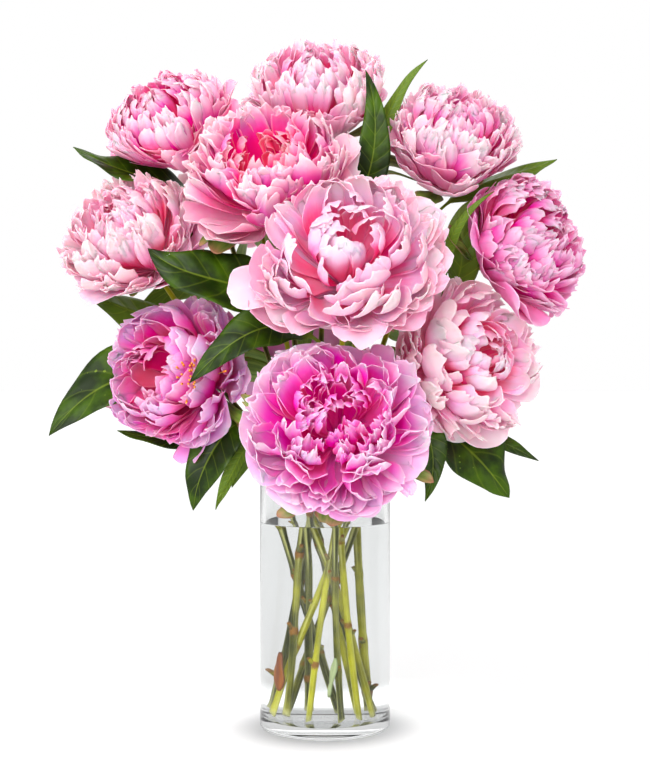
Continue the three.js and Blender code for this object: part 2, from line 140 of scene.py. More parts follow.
def arc(centre: tuple[float, float], radius: float, start: float, end: float, steps: int) -> Profile:
    """Points on an arc between two angles in degrees."""
    angles = np.radians(np.linspace(start, end, steps))
    return [(centre[0] + radius * math.cos(a), centre[1] + radius * math.sin(a)) for a in angles]


# Surfaces ------------------------------------------------------------------------------------


@dataclass
class Surface:
    """A mesh in the making, with its values for each point.

    Attributes:
        points: Places, shape (V, 3).
        quads: Faces as four point numbers each, shape (F, 4).
        values: Named values for each point, shape (V,) each.
        uv: Pattern coordinates for each point, shape (V, 2).
        curved: True for each face that is shaded as a curve. None stands for all of them.
    """

    points: np.ndarray
    quads: np.ndarray
    values: dict[str, np.ndarray] = field(default_factory=dict)
    uv: Optional[np.ndarray] = None
    curved: Optional[np.ndarray] = None

    def with_parts(self, parts: list["Surface"]) -> "Surface":
        """This surface and others with the same values as one, all of it shaded as a curve.

        Args:
            parts: The others.

        Returns:
            The joined surface.
        """
        every = [self, *parts]
        starts = np.cumsum([0] + [len(one.points) for one in every])
        return Surface(
            np.concatenate([one.points for one in every]),
            np.concatenate([one.quads + start for one, start in zip(every, starts)]),
            {key: np.concatenate([one.values[key] for one in every]) for key in self.values},
            np.concatenate([one.uv for one in every]),
        )

    def build(self, name: str) -> bpy.types.Object:
        """Puts the surface into a mesh object.

        Args:
            name: The object's name.

        Returns:
            The object, linked to the scene.
        """
        mesh = bpy.data.meshes.new(name)
        loops = self.quads.reshape(-1)
        mesh.vertices.add(len(self.points))
        mesh.vertices.foreach_set("co", self.points.astype(np.float32).ravel())
        mesh.loops.add(len(loops))
        mesh.loops.foreach_set("vertex_index", loops.astype(np.int32))
        mesh.polygons.add(len(self.quads))
        mesh.polygons.foreach_set("loop_start", np.arange(0, len(loops), 4, dtype=np.int32))
        curved = np.ones(len(self.quads), dtype=bool) if self.curved is None else self.curved
        mesh.polygons.foreach_set("use_smooth", curved)
        if self.uv is not None:
            layer = mesh.uv_layers.new(name="pattern")
            layer.data.foreach_set("uv", self.uv[loops].astype(np.float32).ravel())
        for key, value in self.values.items():
            attribute = mesh.attributes.new(key, "FLOAT", "POINT")
            attribute.data.foreach_set("value", value.astype(np.float32))
        mesh.update()
        mesh.validate()
        piece = bpy.data.objects.new(name, mesh)
        bpy.context.scene.collection.objects.link(piece)
        return piece


def dress(piece: bpy.types.Object, materials: list, node: Optional[str] = None) -> None:
    """Lets a piece ride on the body with its materials, and reports it.

    Args:
        piece: The piece.
        materials: Its materials.
        node: The CAD node that it stands for, if there is one.
    """
    for material in materials:
        piece.data.materials.append(material)
    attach(piece, BODY)
    if node:
        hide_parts(node)
    LOG.info("%s: %d faces", piece.name, len(piece.data.polygons))


def grid_quads(rows: int, columns: int) -> np.ndarray:
    """Quads of an open grid whose point (m, n) has number m * columns + n."""
    first = np.arange(rows - 1)[:, None] * columns + np.arange(columns - 1)
    return np.stack([first, first + 1, first + columns + 1, first + columns], axis=-1).reshape(-1, 4)


def rim_loop(rows: int, columns: int) -> np.ndarray:
    """The edge of such a grid.

    Args:
        rows: Points along the grid.
        columns: Points across it.

    Returns:
        Numbers of its edge points in order, once round.
    """
    top = np.arange(columns)
    right = np.arange(1, rows) * columns + columns - 1
    bottom = (rows - 1) * columns + np.arange(columns - 2, -1, -1)
    left = np.arange(rows - 2, 0, -1) * columns
    return np.concatenate([top, right, bottom, left])


def sheet_normals(grids: np.ndarray) -> np.ndarray:
    """Unit normals of grids (P, M, N, 3): the cross product of their two directions."""
    return unit(np.cross(np.gradient(grids, axis=2), np.gradient(grids, axis=1)))


def shells(
    grids: np.ndarray, thickness: np.ndarray, values: dict[str, np.ndarray], uv: tuple
) -> Surface:
    """Closed thin shells from open grids.

    Each point is moved half the thickness along the sheet's normal for the front, and half
    against it for the back. A strip of quads round the edge joins the two. The strip is shaded
    flat, so that the sheet's own shading stays true up to its edge.

    Args:
        grids: Places, shape (P, M, N, 3).
        thickness: Thickness of the shells.
        values: Named values, the same for front and back.
        uv: Both pattern coordinates. These three broadcast to (P, M, N).

    Returns:
        All shells as one surface.
    """
    shape = grids.shape[:3]
    count, rows, columns = shape
    size = rows * columns
    offset = sheet_normals(grids) * 0.5 * np.broadcast_to(thickness, shape)[..., None]
    points = np.stack([grids + offset, grids - offset], axis=1)
    front = grid_quads(rows, columns)
    loop = rim_loop(rows, columns)
    after = np.roll(loop, -1)
    strip = np.stack([after, loop, loop + size, after + size], axis=-1)
    one = np.concatenate([front, front[:, ::-1] + size, strip])
    starts = np.arange(count)[:, None, None] * (2 * size)

    def both(value: np.ndarray) -> np.ndarray:
        """A value for the front and the back of each shell."""
        return np.repeat(np.broadcast_to(value, shape)[:, None], 2, axis=1).reshape(-1)

    return Surface(
        points.reshape(-1, 3),
        (one + starts).reshape(-1, 4),
        {key: both(value) for key, value in values.items()},
        np.stack([both(uv[0]), both(uv[1])], axis=-1),
        np.tile(np.arange(len(one)) < 2 * len(front), count),
    )


def tube_rings(path: np.ndarray, radii: np.ndarray, sides: int) -> np.ndarray:
    """Rings of points round a path: centre + radius * (cos * side + sin * front).

    The side direction is square to the path and to one fixed axis, the one that the path
    follows least, so that the rings never twist.

    Args:
        path: Middle line, shape (R, 3).
        radii: Radius of each ring.
        sides: Points round a ring.

    Returns:
        Places, shape (R, sides, 3).
    """
    along = unit(np.gradient(path, axis=0))
    side = unit(np.cross(along, np.eye(3)[np.argmin(np.abs(along).max(axis=0))]))
    front = np.cross(along, side)
    angle = np.linspace(0, FULL_TURN, sides, endpoint=False)[:, None]
    ring = np.cos(angle) * side[:, None] + np.sin(angle) * front[:, None]
    return path[:, None] + ring * radii[:, None, None]


def closed_rings(rings: np.ndarray, pole: float) -> np.ndarray:
    """Closes tubes with a copy of each end ring that is drawn together into a pole.

    Args:
        rings: Rings of points, shape (..., R, S, 3).
        pole: Size of a pole as a share of its ring's.

    Returns:
        The rings with one more at each end.
    """
    ends = rings[..., [0, -1], :, :]
    middle = ends.mean(axis=-2, keepdims=True)
    poles = middle + (ends - middle) * pole
    return np.concatenate([poles[..., :1, :, :], rings, poles[..., 1:, :, :]], axis=-3)


def tube_quads(rings: int, sides: int) -> np.ndarray:
    """Quads of a tube whose ring m has points m * sides to m * sides + sides - 1.

    Args:
        rings: Rings along the tube.
        sides: Points round a ring.

    Returns:
        Four point numbers for each face.
    """
    ring = np.arange(rings - 1)[:, None] * sides
    side = np.arange(sides)
    after = (side + 1) % sides
    corners = [ring + side, ring + after, ring + sides + after, ring + sides + side]
    return np.stack(corners, axis=-1).reshape(-1, 4)


def turned(profile: Profile, sides: int) -> Surface:
    """Turns a profile about Z.

    Its first and last points lie on the axis, so both ends close in a pole.

    Args:
        profile: Points of (radius, height).
        sides: Points round it.

    Returns:
        The closed surface.
    """
    angle = np.linspace(0, FULL_TURN, sides, endpoint=False)
    least = 1e-4 * MM
    radius, height = np.array(profile).T[..., None]
    radius = np.maximum(radius, least)
    points = np.stack([radius * np.cos(angle), radius * np.sin(angle), height + 0 * angle], axis=-1)
    return Surface(points.reshape(-1, 3), tube_quads(len(profile), sides))


# Measuring the CAD nodes ---------------------------------------------------------------------


def node_mesh(node: str) -> tuple[np.ndarray, np.ndarray]:
    """The mesh of a CAD node.

    Args:
        node: The node's name.

    Returns:
        Points (V, 3) and triangles (T, 3).
    """
    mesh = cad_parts[node].data
    points = np.empty(len(mesh.vertices) * 3)
    mesh.vertices.foreach_get("co", points)
    mesh.calc_loop_triangles()
    triangles = np.empty(len(mesh.loop_triangles) * 3, dtype=np.int32)
    mesh.loop_triangles.foreach_get("vertices", triangles)
    return points.reshape(-1, 3), triangles.reshape(-1, 3)


def section(mesh: tuple[np.ndarray, np.ndarray], origin: np.ndarray, normal: np.ndarray) -> np.ndarray:
    """Cuts a mesh with a plane.

    Args:
        mesh: Points and triangles.
        origin: A point of the plane.
        normal: The plane's normal.

    Returns:
        The cut as segments, shape (K, 2, 3).
    """
    points, triangles = mesh
    height = ((points - origin) @ normal)[triangles]
    following = np.roll(height, -1, axis=1)
    corner = points[triangles]
    crosses = (height < 0) != (following < 0)
    span = np.where(crosses, height - following, 1)
    place = corner + (height / span)[..., None] * (np.roll(corner, -1, axis=1) - corner)
    cut = crosses.sum(axis=1) == 2
    return place[cut][crosses[cut]].reshape(-1, 2, 3)


def section_middle(segments: np.ndarray) -> np.ndarray:
    """The middle of a section: the mean of its segments, each weighted by its length."""
    length = np.linalg.norm(segments[:, 1] - segments[:, 0], axis=1)
    return (segments.mean(axis=1) * length[:, None]).sum(axis=0) / length.sum()


def end_face(mesh: tuple[np.ndarray, np.ndarray], near: np.ndarray) -> tuple[np.ndarray, np.ndarray]:
    """The largest flat face at one end of a mesh.

    Triangles belong to one face where their normals and their levels agree.

    Args:
        mesh: Points and triangles.
        near: A place that lies nearest to that end.

    Returns:
        The face's normal and its middle.
    """
    end_reach, same_way, same_level = 16 * MM, 0.9999, 0.02 * MM
    points, triangles = mesh
    end = points[np.argmin(np.linalg.norm(points - near, axis=1))]
    corner = points[triangles]
    corner = corner[np.linalg.norm(corner.mean(axis=1) - end, axis=1) < end_reach]
    cross = np.cross(corner[:, 1] - corner[:, 0], corner[:, 2] - corner[:, 0])
    area = 0.5 * np.linalg.norm(cross, axis=1)
    normal = unit(cross)
    middle = corner.mean(axis=1)
    level = (normal * middle).sum(axis=1)
    same = (normal @ normal.T > same_way) & (np.abs(level[:, None] - level) < same_level)
    best = np.argmax(same @ area)
    member = same[best]
    centre = (middle[member] * area[member, None]).sum(axis=0) / area[member].sum()
    return normal[best], centre


@dataclass
class BloomPlace:
    """Where a bloom stands, measured on its CAD nodes.

    Attributes:
        name: The bloom's name in the node names.
        base: Where its petals grow from.
        axis: The way it faces.
        centre: The middle of its widest ring.
        radius: That ring's radius.
        depth: How far the ball of petals rises in front of the ring.
    """

    name: str
    base: np.ndarray
    axis: np.ndarray
    centre: np.ndarray
    radius: float
    depth: float

    @classmethod
    def measured(cls, name: str) -> "BloomPlace":
        """Reads the stem's cap for base and axis, and the petals for radius and depth.

        Args:
            name: The bloom's name.

        Returns:
            Its place.
        """
        petals = node_mesh(f"inner_petals_{name}")[0]
        axis, cap = end_face(node_mesh(f"stem_{name}"), petals.mean(axis=0))
        base = cap - axis * CAP_LIFT
        guard = node_mesh(f"guard_petals_{name}")[0] - base
        radius = np.linalg.norm(guard - np.outer(guard @ axis, axis), axis=1).max()
        centre = base + axis * BOWL_SHARE * radius
        depth = ((petals - centre) @ axis).max()
        LOG.info("%s: axis %s, radius %.4f, depth %.4f", name, axis.round(2), radius, depth)
        return cls(name, base, axis, centre, float(radius), float(depth))

    def basis(self) -> np.ndarray:
        """Rows: a side, a second side and the axis, all square to each other."""
        side = unit(np.cross(UP if abs(self.axis[2]) < 0.9 else [0.0, 1.0, 0.0], self.axis))
        return np.stack([side, np.cross(self.axis, side), self.axis])

    def shared_planes(self, other: "BloomPlace") -> list[Plane]:
        """The flat plane in which two pressed blooms meet, if they do.

        The bloom in front bulges over it and the one behind gives way by as much.

        Args:
            other: The other bloom.

        Returns:
            The plane, or nothing.
        """
        between = other.centre - self.centre
        distance = float(np.linalg.norm(between))
        if distance >= self.radius + other.radius:
            return []
        share = (distance**2 + self.radius**2 - other.radius**2) / (2 * distance)
        outward = between / distance
        bulge = BULGE if self.centre[1] < other.centre[1] else -BULGE
        return [(self.centre + outward * (share - SOLID_GAP / 2 + bulge), outward)]

    def stem_line(self, cuts: int = 48, neck: int = 13) -> tuple[np.ndarray, float]:
        """The middle of the CAD stem at even heights, then a curve into the bloom's base.

        Args:
            cuts: Heights at which the stem is measured.
            neck: Points on the curve above them.

        Returns:
            Places along the stem, foot first, and its radius.
        """
        foot_gap, neck_rise, fullness, stiffness = 0.6 * MM, 24 * MM, 1.04, 0.4
        mesh = node_mesh(f"stem_{self.name}")
        low = mesh[0][:, 2].min() + foot_gap
        high = self.base[2] - neck_rise * max(self.axis[2], 0.3)
        sections = [section(mesh, UP * height, UP) for height in np.linspace(low, high, cuts)]
        line = np.array([section_middle(one) for one in sections])
        line[1:-1] = 0.25 * line[:-2] + 0.5 * line[1:-1] + 0.25 * line[2:]
        half_way = cuts // 2
        way = unit(line[half_way] - line[half_way - 1])
        spread = sections[half_way].reshape(-1, 3) - line[half_way]
        spread = spread - np.outer(spread @ way, way)
        radius = fullness * float(np.linalg.norm(spread, axis=1).mean())
        last, target = line[-1], self.base - self.axis * MM
        arm = stiffness * np.linalg.norm(target - last)
        knots = [last, last + unit(last - line[-3]) * arm, target - self.axis * arm, target]
        share = np.linspace(0, 1, neck + 1)[1:, None]
        return np.concatenate([line, bezier(knots, share)]), radius


# Shaders -------------------------------------------------------------------------------------


class NodeTree:
    """Adds nodes to a shader tree and links their sockets by name."""

    def __init__(self, tree: bpy.types.NodeTree) -> None:
        """Keeps the tree to work on."""
        self.tree = tree

    def add(self, kind: str, inputs: Optional[dict] = None, **settings: object) -> bpy.types.Node:
        """Adds one node.

        Args:
            kind: The node's type without its ShaderNode prefix.
            inputs: What goes into its sockets, by their name or number: a socket of another
                node, a hex code for a colour, or a plain value.
            settings: Properties of the node itself.

        Returns:
            The new node.
        """
        node = self.tree.nodes.new("ShaderNode" + kind)
        for key, value in settings.items():
            setattr(node, key, value)
        for key, value in (inputs or {}).items():
            if isinstance(value, bpy.types.NodeSocket):
                self.tree.links.new(value, node.inputs[key])
            else:
                node.inputs[key].default_value = colour(value) if isinstance(value, str) else value
        return node

    def math(self, operation: str, *values: Value) -> Socket:
        """The result of one sum."""
        return self.add("Math", dict(enumerate(values)), operation=operation).outputs[0]

    def ramp(self, value: Value, low: float, high: float) -> Socket:
        """A value that rises smoothly from 0 at low to 1 at high."""
        inputs = {"Value": value, "From Min": low, "From Max": high}
        return self.add("MapRange", inputs, interpolation_type="SMOOTHSTEP").outputs["Result"]

    def mix(self, share: Value, first: Value, second: Value, most: float = 1.0) -> Socket:
        """Two colours mixed.

        Args:
            share: Share of the second.
            first: One colour.
            second: The other.
            most: Factor on the share.

        Returns:
            The colour between them.
        """
        if most != 1.0:
            share = self.math("MULTIPLY", share, most)
        return self.add("Mix", {0: share, 6: first, 7: second}, data_type="RGBA").outputs[2]

    def uneven(self, value: Value, noise: Socket, amount: float) -> Socket:
        """A value moved up and down by noise that lies about 0.5."""
        return self.math("MULTIPLY_ADD", self.math("SUBTRACT", noise, 0.5), amount, value)

    def value_of(self, name: str) -> Socket:
        """The number that a mesh keeps for each point under a name."""
        return self.add("Attribute", attribute_name=name).outputs["Fac"]

    def pattern(self) -> Socket:
        """The piece's own UV map."""
        return self.add("UVMap", uv_map="pattern").outputs[0]

    def place(self) -> Socket:
        """Object coordinates."""
        return self.add("TexCoord").outputs["Object"]

    def noise(self, vector: Socket, scale: Union[float, tuple], detail: float = 2.0) -> Socket:
        """Soft noise about 0.5.

        Args:
            vector: The place.
            scale: How fine it is, or one number for each axis.
            detail: How many finer layers it has.

        Returns:
            The noise.
        """
        if isinstance(scale, tuple):
            vector = self.add("Mapping", {"Vector": vector, "Scale": scale}).outputs[0]
            scale = 1.0
        return self.add("TexNoise", {"Vector": vector, "Scale": scale, "Detail": detail}).outputs["Fac"]

    def relief(self, height: Socket, strength: float, distance: float) -> Socket:
        """The normal of a surface with small heights on it."""
        return self.add("Bump", {"Height": height, "Strength": strength, "Distance": distance}).outputs[0]

    def skin(self, paint: Value, roughness: float, more: Optional[dict] = None) -> bpy.types.Node:
        """A Principled shader with its paint, its roughness and more inputs by name."""
        return self.add("BsdfPrincipled", {"Base Color": paint, "Roughness": roughness, **(more or {})})

    def finish(self, shader: bpy.types.Node) -> None:
        """Sends a shader to the material's output."""
        self.add("OutputMaterial", {"Surface": shader.outputs[0]})


def new_material(name: str) -> tuple[bpy.types.Material, NodeTree]:
    """An empty node material.

    Args:
        name: The material's name.

    Returns:
        The material and its tree.
    """
    material = bpy.data.materials.new(name)
    material.use_nodes = True
    material.node_tree.nodes.clear()
    return material, NodeTree(material.node_tree)


def petal_group() -> bpy.types.NodeTree:
    """The colour and relief of a petal from its point values and its own UV.

    Pale turns to Middle and to Deep with the value depth, which is how deep a point lies in
    the bloom and how near its petal's base. This is painted shade: darker, deeper pink down
    between the petals, and partly the petal's own deeper pink at its base. Fine streaks run
    along the petal. The edge takes the Edge colour by the value rim, the outer petals the
    Guard colour by the value guard, and tint shifts each petal a little lighter or darker.

    Returns:
        The node group, with one input for each colour and for the share of the Guard colour.
    """
    group = bpy.data.node_groups.new("petal_surface", "ShaderNodeTree")
    for direction, kind, labels in (
        ("INPUT", "NodeSocketColor", ("Pale", "Middle", "Deep", "Edge", "Guard")),
        ("INPUT", "NodeSocketFloat", ("Guard Share",)),
        ("OUTPUT", "NodeSocketColor", ("Color",)),
        ("OUTPUT", "NodeSocketFloat", ("Height",)),
    ):
        for label in labels:
            group.interface.new_socket(name=label, in_out=direction, socket_type=kind)
    given = group.nodes.new("NodeGroupInput").outputs
    result = group.nodes.new("NodeGroupOutput").inputs
    nodes = NodeTree(group)
    pattern = nodes.pattern()
    streaks = nodes.noise(pattern, (210, 16, 1), 3.0)
    clouds = nodes.noise(pattern, (40, 26, 1))
    drift = nodes.math("SUBTRACT", nodes.math("ADD", streaks, clouds), 1.0)
    # painted shade: the value depth turns the paint from Pale to Middle and Deep pink down between the
    # petals
    depth = nodes.math("MULTIPLY_ADD", drift, 0.35, nodes.value_of("depth"))
    paint = nodes.mix(nodes.ramp(depth, 0.05, 0.62), given["Pale"], given["Middle"])
    paint = nodes.mix(nodes.ramp(depth, 0.5, 1.05), paint, given["Deep"])
    guard = nodes.math("MULTIPLY", nodes.value_of("guard"), given["Guard Share"])
    paint = nodes.mix(guard, paint, given["Guard"])
    rim = nodes.math("MULTIPLY_ADD", drift, 0.5, nodes.value_of("rim"))
    paint = nodes.mix(nodes.ramp(rim, 0.2, 1.2), paint, given["Edge"], most=0.6)
    tint = nodes.value_of("tint")
    shifted = nodes.add("HueSaturation", {
        "Hue": nodes.math("MULTIPLY_ADD", tint, 0.016, 0.492),
        "Saturation": nodes.math("MULTIPLY_ADD", tint, -0.25, 1.12),
        "Value": nodes.math("MULTIPLY_ADD", tint, 0.12, 0.93),
        "Color": paint,
    })
    height = nodes.math("MULTIPLY_ADD", clouds, 0.6, nodes.math("MULTIPLY", streaks, 0.4))
    group.links.new(shifted.outputs[0], result["Color"])
    group.links.new(height, result["Height"])
    return group


@dataclass(frozen=True)
class PetalFinish:
    """The skin of one bloom's petals.

    Attributes:
        name: The finish's name.
        pale: Colour of the parts that stand out.
        middle: Colour of the painted shade half way down between the petals.
        deep: Colour of the painted shade deep down between them, and of the painted glow.
        edge: Colour along the rim of a petal.
        guard: Colour of the outer petals.
        guard_share: How much of it they take.
        glow: How far light spreads inside a petal.
        painted_glow_strength: Strength of a painted glow that stands in for light from other petals.
    """

    name: str
    pale: str
    middle: str
    deep: str
    edge: str
    guard: str
    guard_share: float = 0.6
    glow: float = 1.2 * MM
    painted_glow_strength: float = 0.035

    def material(self) -> bpy.types.Material:
        """A soft satin petal with light coming through it.

        Returns:
            The material.
        """
        material, nodes = new_material(f"petals_{self.name}")
        surface = nodes.add("Group", {
            "Pale": self.pale, "Middle": self.middle, "Deep": self.deep,
            "Edge": self.edge, "Guard": self.guard, "Guard Share": self.guard_share,
        }, node_tree=bpy.data.node_groups.get("petal_surface") or petal_group())
        nodes.finish(nodes.skin(surface.outputs["Color"], 0.6, {
            "Specular IOR Level": 0.15,
            "Normal": nodes.relief(surface.outputs["Height"], 0.5, 0.7 * MM),
            "Subsurface Weight": 1.0,
            "Subsurface Radius": (1.0, 0.45, 0.6),
            "Subsurface Scale": self.glow,
            # painted glow: a faint emission in the Deep pink that stands in for light passed on between
            # the petals
            "Emission Color": self.deep,
            "Emission Strength": self.painted_glow_strength,
        }))
        return material


# Petals --------------------------------------------------------------------------------------


@dataclass(frozen=True)
class Whorl:
    """One group of alike petals. Angles are in degrees, lengths in millimetres.

    Attributes:
        count: Number of petals.
        tips: Angles from the axis between which their tips stand.
        half: Half width, narrowest and widest.
        reach: How far out the tips stand, as shares of the bloom's own outline.
        incurve: 1 where the tip lies over the heart, 0 where it points straight out.
        cup: How far a petal wraps round, in radians from its middle to its edge.
        curl: How far its tip curls towards the heart, below 0 away from it.
        ruffle: Height of the waves along its edge.
        frill: Depth of the small scallops in its edge, as a share of its length.
        loose: How much the petals differ in the way they are turned, in radians.
        guard: 1 for outer petals, 0 for inner ones.
        tufts: How strongly neighbours are drawn together, 0 not at all, 1 into one place.
    """

    count: int
    tips: tuple[float, float]
    half: tuple[float, float]
    reach: tuple[float, float] = (0.93, 1.06)
    incurve: tuple[float, float] = (0.3, 0.8)
    cup: tuple[float, float] = (0.5, 1.1)
    curl: tuple[float, float] = (0, 5)
    ruffle: float = 1.9
    frill: float = 0.045
    loose: float = 0.45
    guard: float = 0.0
    tufts: float = 0.38

    def tufted(
        self, spin: np.ndarray, tip: np.ndarray, rng: np.random.Generator
    ) -> tuple[np.ndarray, np.ndarray, np.ndarray]:
        """Draws neighbouring petals together into tufts, so that folds open between the tufts.

        Each tip's direction d becomes the unit vector of d + tufts * (c - d), where c is the
        nearest of a few tips picked as the middles of the tufts.

        Args:
            spin: Angles round the axis.
            tip: Angles from the axis.
            rng: Picks the middles.

        Returns:
            The new angles, and the number of each petal's tuft.
        """
        petals_a_tuft = 5
        ways = np.stack([np.sin(tip) * np.cos(spin), np.sin(tip) * np.sin(spin), np.cos(tip)], axis=-1)
        middles = ways[rng.permutation(self.count)[: max(self.count // petals_a_tuft, 1)]]
        member = np.argmax(ways @ middles.T, axis=1)
        ways = unit(ways + self.tufts * (middles[member] - ways))
        return np.arctan2(ways[:, 1], ways[:, 0]), np.arccos(np.clip(ways[:, 2], -1, 1)), member

    def draw(self, widen: float, rng: np.random.Generator) -> "PetalSet":
        """The petals, their tips spread evenly over the dome and turned by the golden angle.

        Args:
            widen: Factor on the widths.
            rng: Source of the differences between petals.

        Returns:
            The petals as arrays.
        """
        spin_spread, tip_spread = 0.22, 0.08
        index = np.arange(self.count)
        near, far = np.cos(np.radians(self.tips))
        tip = np.arccos(near + (index + 0.5) / self.count * (far - near))
        shuffled = rng.permutation(self.count) if self.guard else index

        def between(pair: tuple[float, float]) -> np.ndarray:
            """One number for each petal, evenly between two."""
            return rng.uniform(pair[0], pair[1], self.count)

        turn = FULL_TURN / self.count if self.guard else GOLDEN_ANGLE
        spin = index * turn + rng.uniform(0, FULL_TURN) + rng.normal(0, spin_spread, self.count)
        tip = np.clip(tip[shuffled] + rng.normal(0, tip_spread, self.count), 0.04, 2.3)
        reach = between(self.reach)
        if not self.guard:
            spin, tip, member = self.tufted(spin, tip, rng)
            reach *= rng.uniform(0.94, 1.03, self.count)[member]
        return PetalSet(
            spin=spin,
            tip=tip,
            reach=reach,
            half=between(self.half) * widen * MM,
            cup=between(self.cup),
            incurve=between(self.incurve),
            ruffle=self.ruffle * MM * between((0.5, 1.4)),
            frill=self.frill * between((0.5, 1.5)),
            lean=rng.normal(0, self.loose, self.count),
            curl=between(self.curl) * MM,
            guard=np.full(self.count, self.guard),
            slack=between((0, 6 * MM)),
        )


@dataclass(frozen=True)
class Stray:
    """One outer petal that hangs out of its bloom, in degrees and millimetres as a Whorl."""

    spin: float
    tip: float
    reach: float
    half: float
    incurve: float
    curl: float


@dataclass(frozen=True)
class HeartForm:
    """How the middle of a bloom stands.

    Attributes:
        hollow: How far the middle is sunk, as a share of the dome's depth.
        width: Width of that hollow in degrees.
        whorls: The groups of petals, from the outside in.
        grid: Points along and across each inner petal.
    """

    hollow: float
    width: float
    whorls: tuple[Whorl, ...]
    grid: tuple[int, int]


SMOOTH_PETAL = {"ruffle": 1.2, "frill": 0.012, "loose": 0.15, "guard": 1.0}
GUARD_RING = Whorl(
    13, (84, 112), (20, 27), (0.98, 1.1), (0.05, 0.55), (0.35, 0.8), (-7, 3), **SMOOTH_PETAL
)
HIDDEN_RING = Whorl(
    10, (84, 110), (22, 28), (0.98, 1.08), (0.1, 0.5), (0.4, 0.8), (-6, 3), **SMOOTH_PETAL
)
MANTLE = Whorl(46, (56, 98), (11, 16), (0.94, 1.08), (0.2, 0.7), (0.5, 1.0), (-2, 5))
FINE_MANTLE = Whorl(60, (56, 98), (9, 13.5), (0.94, 1.08), (0.2, 0.75), (0.5, 1.1), (-2, 5))
SEPALS = Whorl(
    5, (118, 134), (10, 14), (1.2, 1.27), (0.2, 0.5), (0.5, 0.8), (-2, 1), 0.6, 0.004, 0.1, 1.0
)
BRACTS = Whorl(
    4, (108, 122), (4, 6.5), (1.24, 1.32), (0.0, 0.4), (0.3, 0.6), (-9, 0), 0.8, 0.0, 0.2, 1.0
)


class Heart(Enum):
    """The kinds of middle that the blooms of this bunch have."""

    GLOBE = HeartForm(0.08, 24, (
        GUARD_RING,
        FINE_MANTLE,
        Whorl(92, (14, 60), (7, 11), (0.93, 1.05), (0.5, 1.0), (0.5, 1.2), (1, 6)),
        Whorl(26, (1, 16), (5, 8), (0.9, 1.02), (0.3, 0.9), (0.6, 1.3), (0, 4)),
    ), (7, 13))
    CUP = HeartForm(0.5, 32, (
        GUARD_RING,
        MANTLE,
        Whorl(50, (32, 62), (10, 15), (0.95, 1.08), (0.2, 0.7), (0.6, 1.2), (0, 6)),
        Whorl(38, (2, 30), (7, 12), (0.9, 1.16), (0.4, 1.0), (0.6, 1.4), (2, 7)),
    ), (8, 15))
    SHELLS = HeartForm(0.2, 26, (
        GUARD_RING,
        MANTLE,
        Whorl(32, (26, 60), (13, 19), (0.95, 1.06), (0.4, 0.95), (0.6, 1.2), (0, 6), 1.1, 0.025),
        Whorl(28, (2, 30), (9, 14), (0.92, 1.04), (0.5, 1.0), (0.7, 1.4), (1, 6), 1.1, 0.025),
    ), (8, 17))
    ROSETTE = HeartForm(0.3, 30, (
        GUARD_RING,
        MANTLE,
        Whorl(34, (34, 58), (12, 17), (0.97, 1.1), (0.2, 0.7), (0.6, 1.2), (0, 6), 2.0),
        Whorl(64, (2, 34), (5, 9), (0.86, 1.08), (0.2, 0.9), (0.6, 1.4), (0, 5), 2.0, 0.05, 0.7),
    ), (7, 15))
    RUFFLED = HeartForm(0.15, 30, (
        GUARD_RING,
        FINE_MANTLE,
        Whorl(76, (20, 60), (8, 12), (0.92, 1.08), (0.3, 0.95), (0.5, 1.2), (0, 6)),
        Whorl(40, (2, 22), (5.5, 9), (0.88, 1.05), (0.3, 0.9), (0.6, 1.3), (0, 5), 2.0, 0.04, 0.5),
    ), (7, 13))
    HIDDEN = HeartForm(0.15, 30, (
        HIDDEN_RING,
        Whorl(34, (50, 98), (14, 19), (0.94, 1.06), (0.2, 0.7), (0.5, 1.0), (-2, 5)),
        Whorl(36, (3, 52), (11, 15), (0.92, 1.05), (0.3, 0.9), (0.6, 1.2), (0, 5)),
    ), (7, 11))


@dataclass
class PetalSet:
    """Petals of one bloom as arrays, one entry a petal, with the meanings that Whorl gives.

    Attributes:
        spin: Angle round the axis in radians, 0 to the right and a quarter turn up.
        tip: Angle of the tip from the axis in radians, seen from the widest ring's middle.
        lean: How far it turns about its own middle line, in radians.
        slack: How far short of a neighbouring bloom it stops, below 0 past it.
    """

    spin: np.ndarray
    tip: np.ndarray
    reach: np.ndarray
    half: np.ndarray
    cup: np.ndarray
    incurve: np.ndarray
    ruffle: np.ndarray
    frill: np.ndarray
    lean: np.ndarray
    curl: np.ndarray
    guard: np.ndarray
    slack: np.ndarray

    @classmethod
    def joined(cls, sets: list["PetalSet"]) -> "PetalSet":
        """Several groups of petals as one."""
        keys = vars(sets[0])
        return cls(**{key: np.concatenate([vars(one)[key] for one in sets]) for key in keys})

    @classmethod
    def loose_ones(cls, strays: tuple[Stray, ...], rng: np.random.Generator) -> "PetalSet":
        """Outer petals that hang out of the bowl.

        Args:
            strays: Where each of them hangs.
            rng: Source of the differences between them.

        Returns:
            The petals as arrays.
        """
        count = len(strays)
        given = {key: np.array([vars(one)[key] for one in strays]) for key in vars(strays[0])}
        return cls(
            spin=np.radians(given["spin"]),
            tip=np.radians(given["tip"]),
            reach=given["reach"],
            half=given["half"] * MM,
            cup=rng.uniform(0.5, 0.9, count),
            incurve=given["incurve"],
            ruffle=np.full(count, 1.5 * MM),
            frill=np.full(count, 0.015),
            lean=rng.normal(0, 0.2, count),
            curl=given["curl"] * MM,
            guard=np.ones(count),
            slack=np.full(count, -22 * MM),
        )

    def outline(self, place: BloomPlace, form: HeartForm) -> tuple[np.ndarray, np.ndarray]:
        """Where each tip stands on the bloom's outline at its own angle.

        Over the heart it is lowered by hollow * exp(-(angle / width)^2) of the dome's depth.

        Args:
            place: Where the bloom stands.
            form: How its heart stands.

        Returns:
            Radius and height of each tip above the base.
        """
        bowl = BOWL_SHARE * place.radius
        rise = np.where(self.tip < math.pi / 2, place.depth, bowl)
        drop = form.hollow * place.depth * hump(self.tip, math.radians(form.width))
        radius = self.reach * place.radius * np.sin(self.tip)
        return radius, bowl + self.reach * rise * np.cos(self.tip) - drop


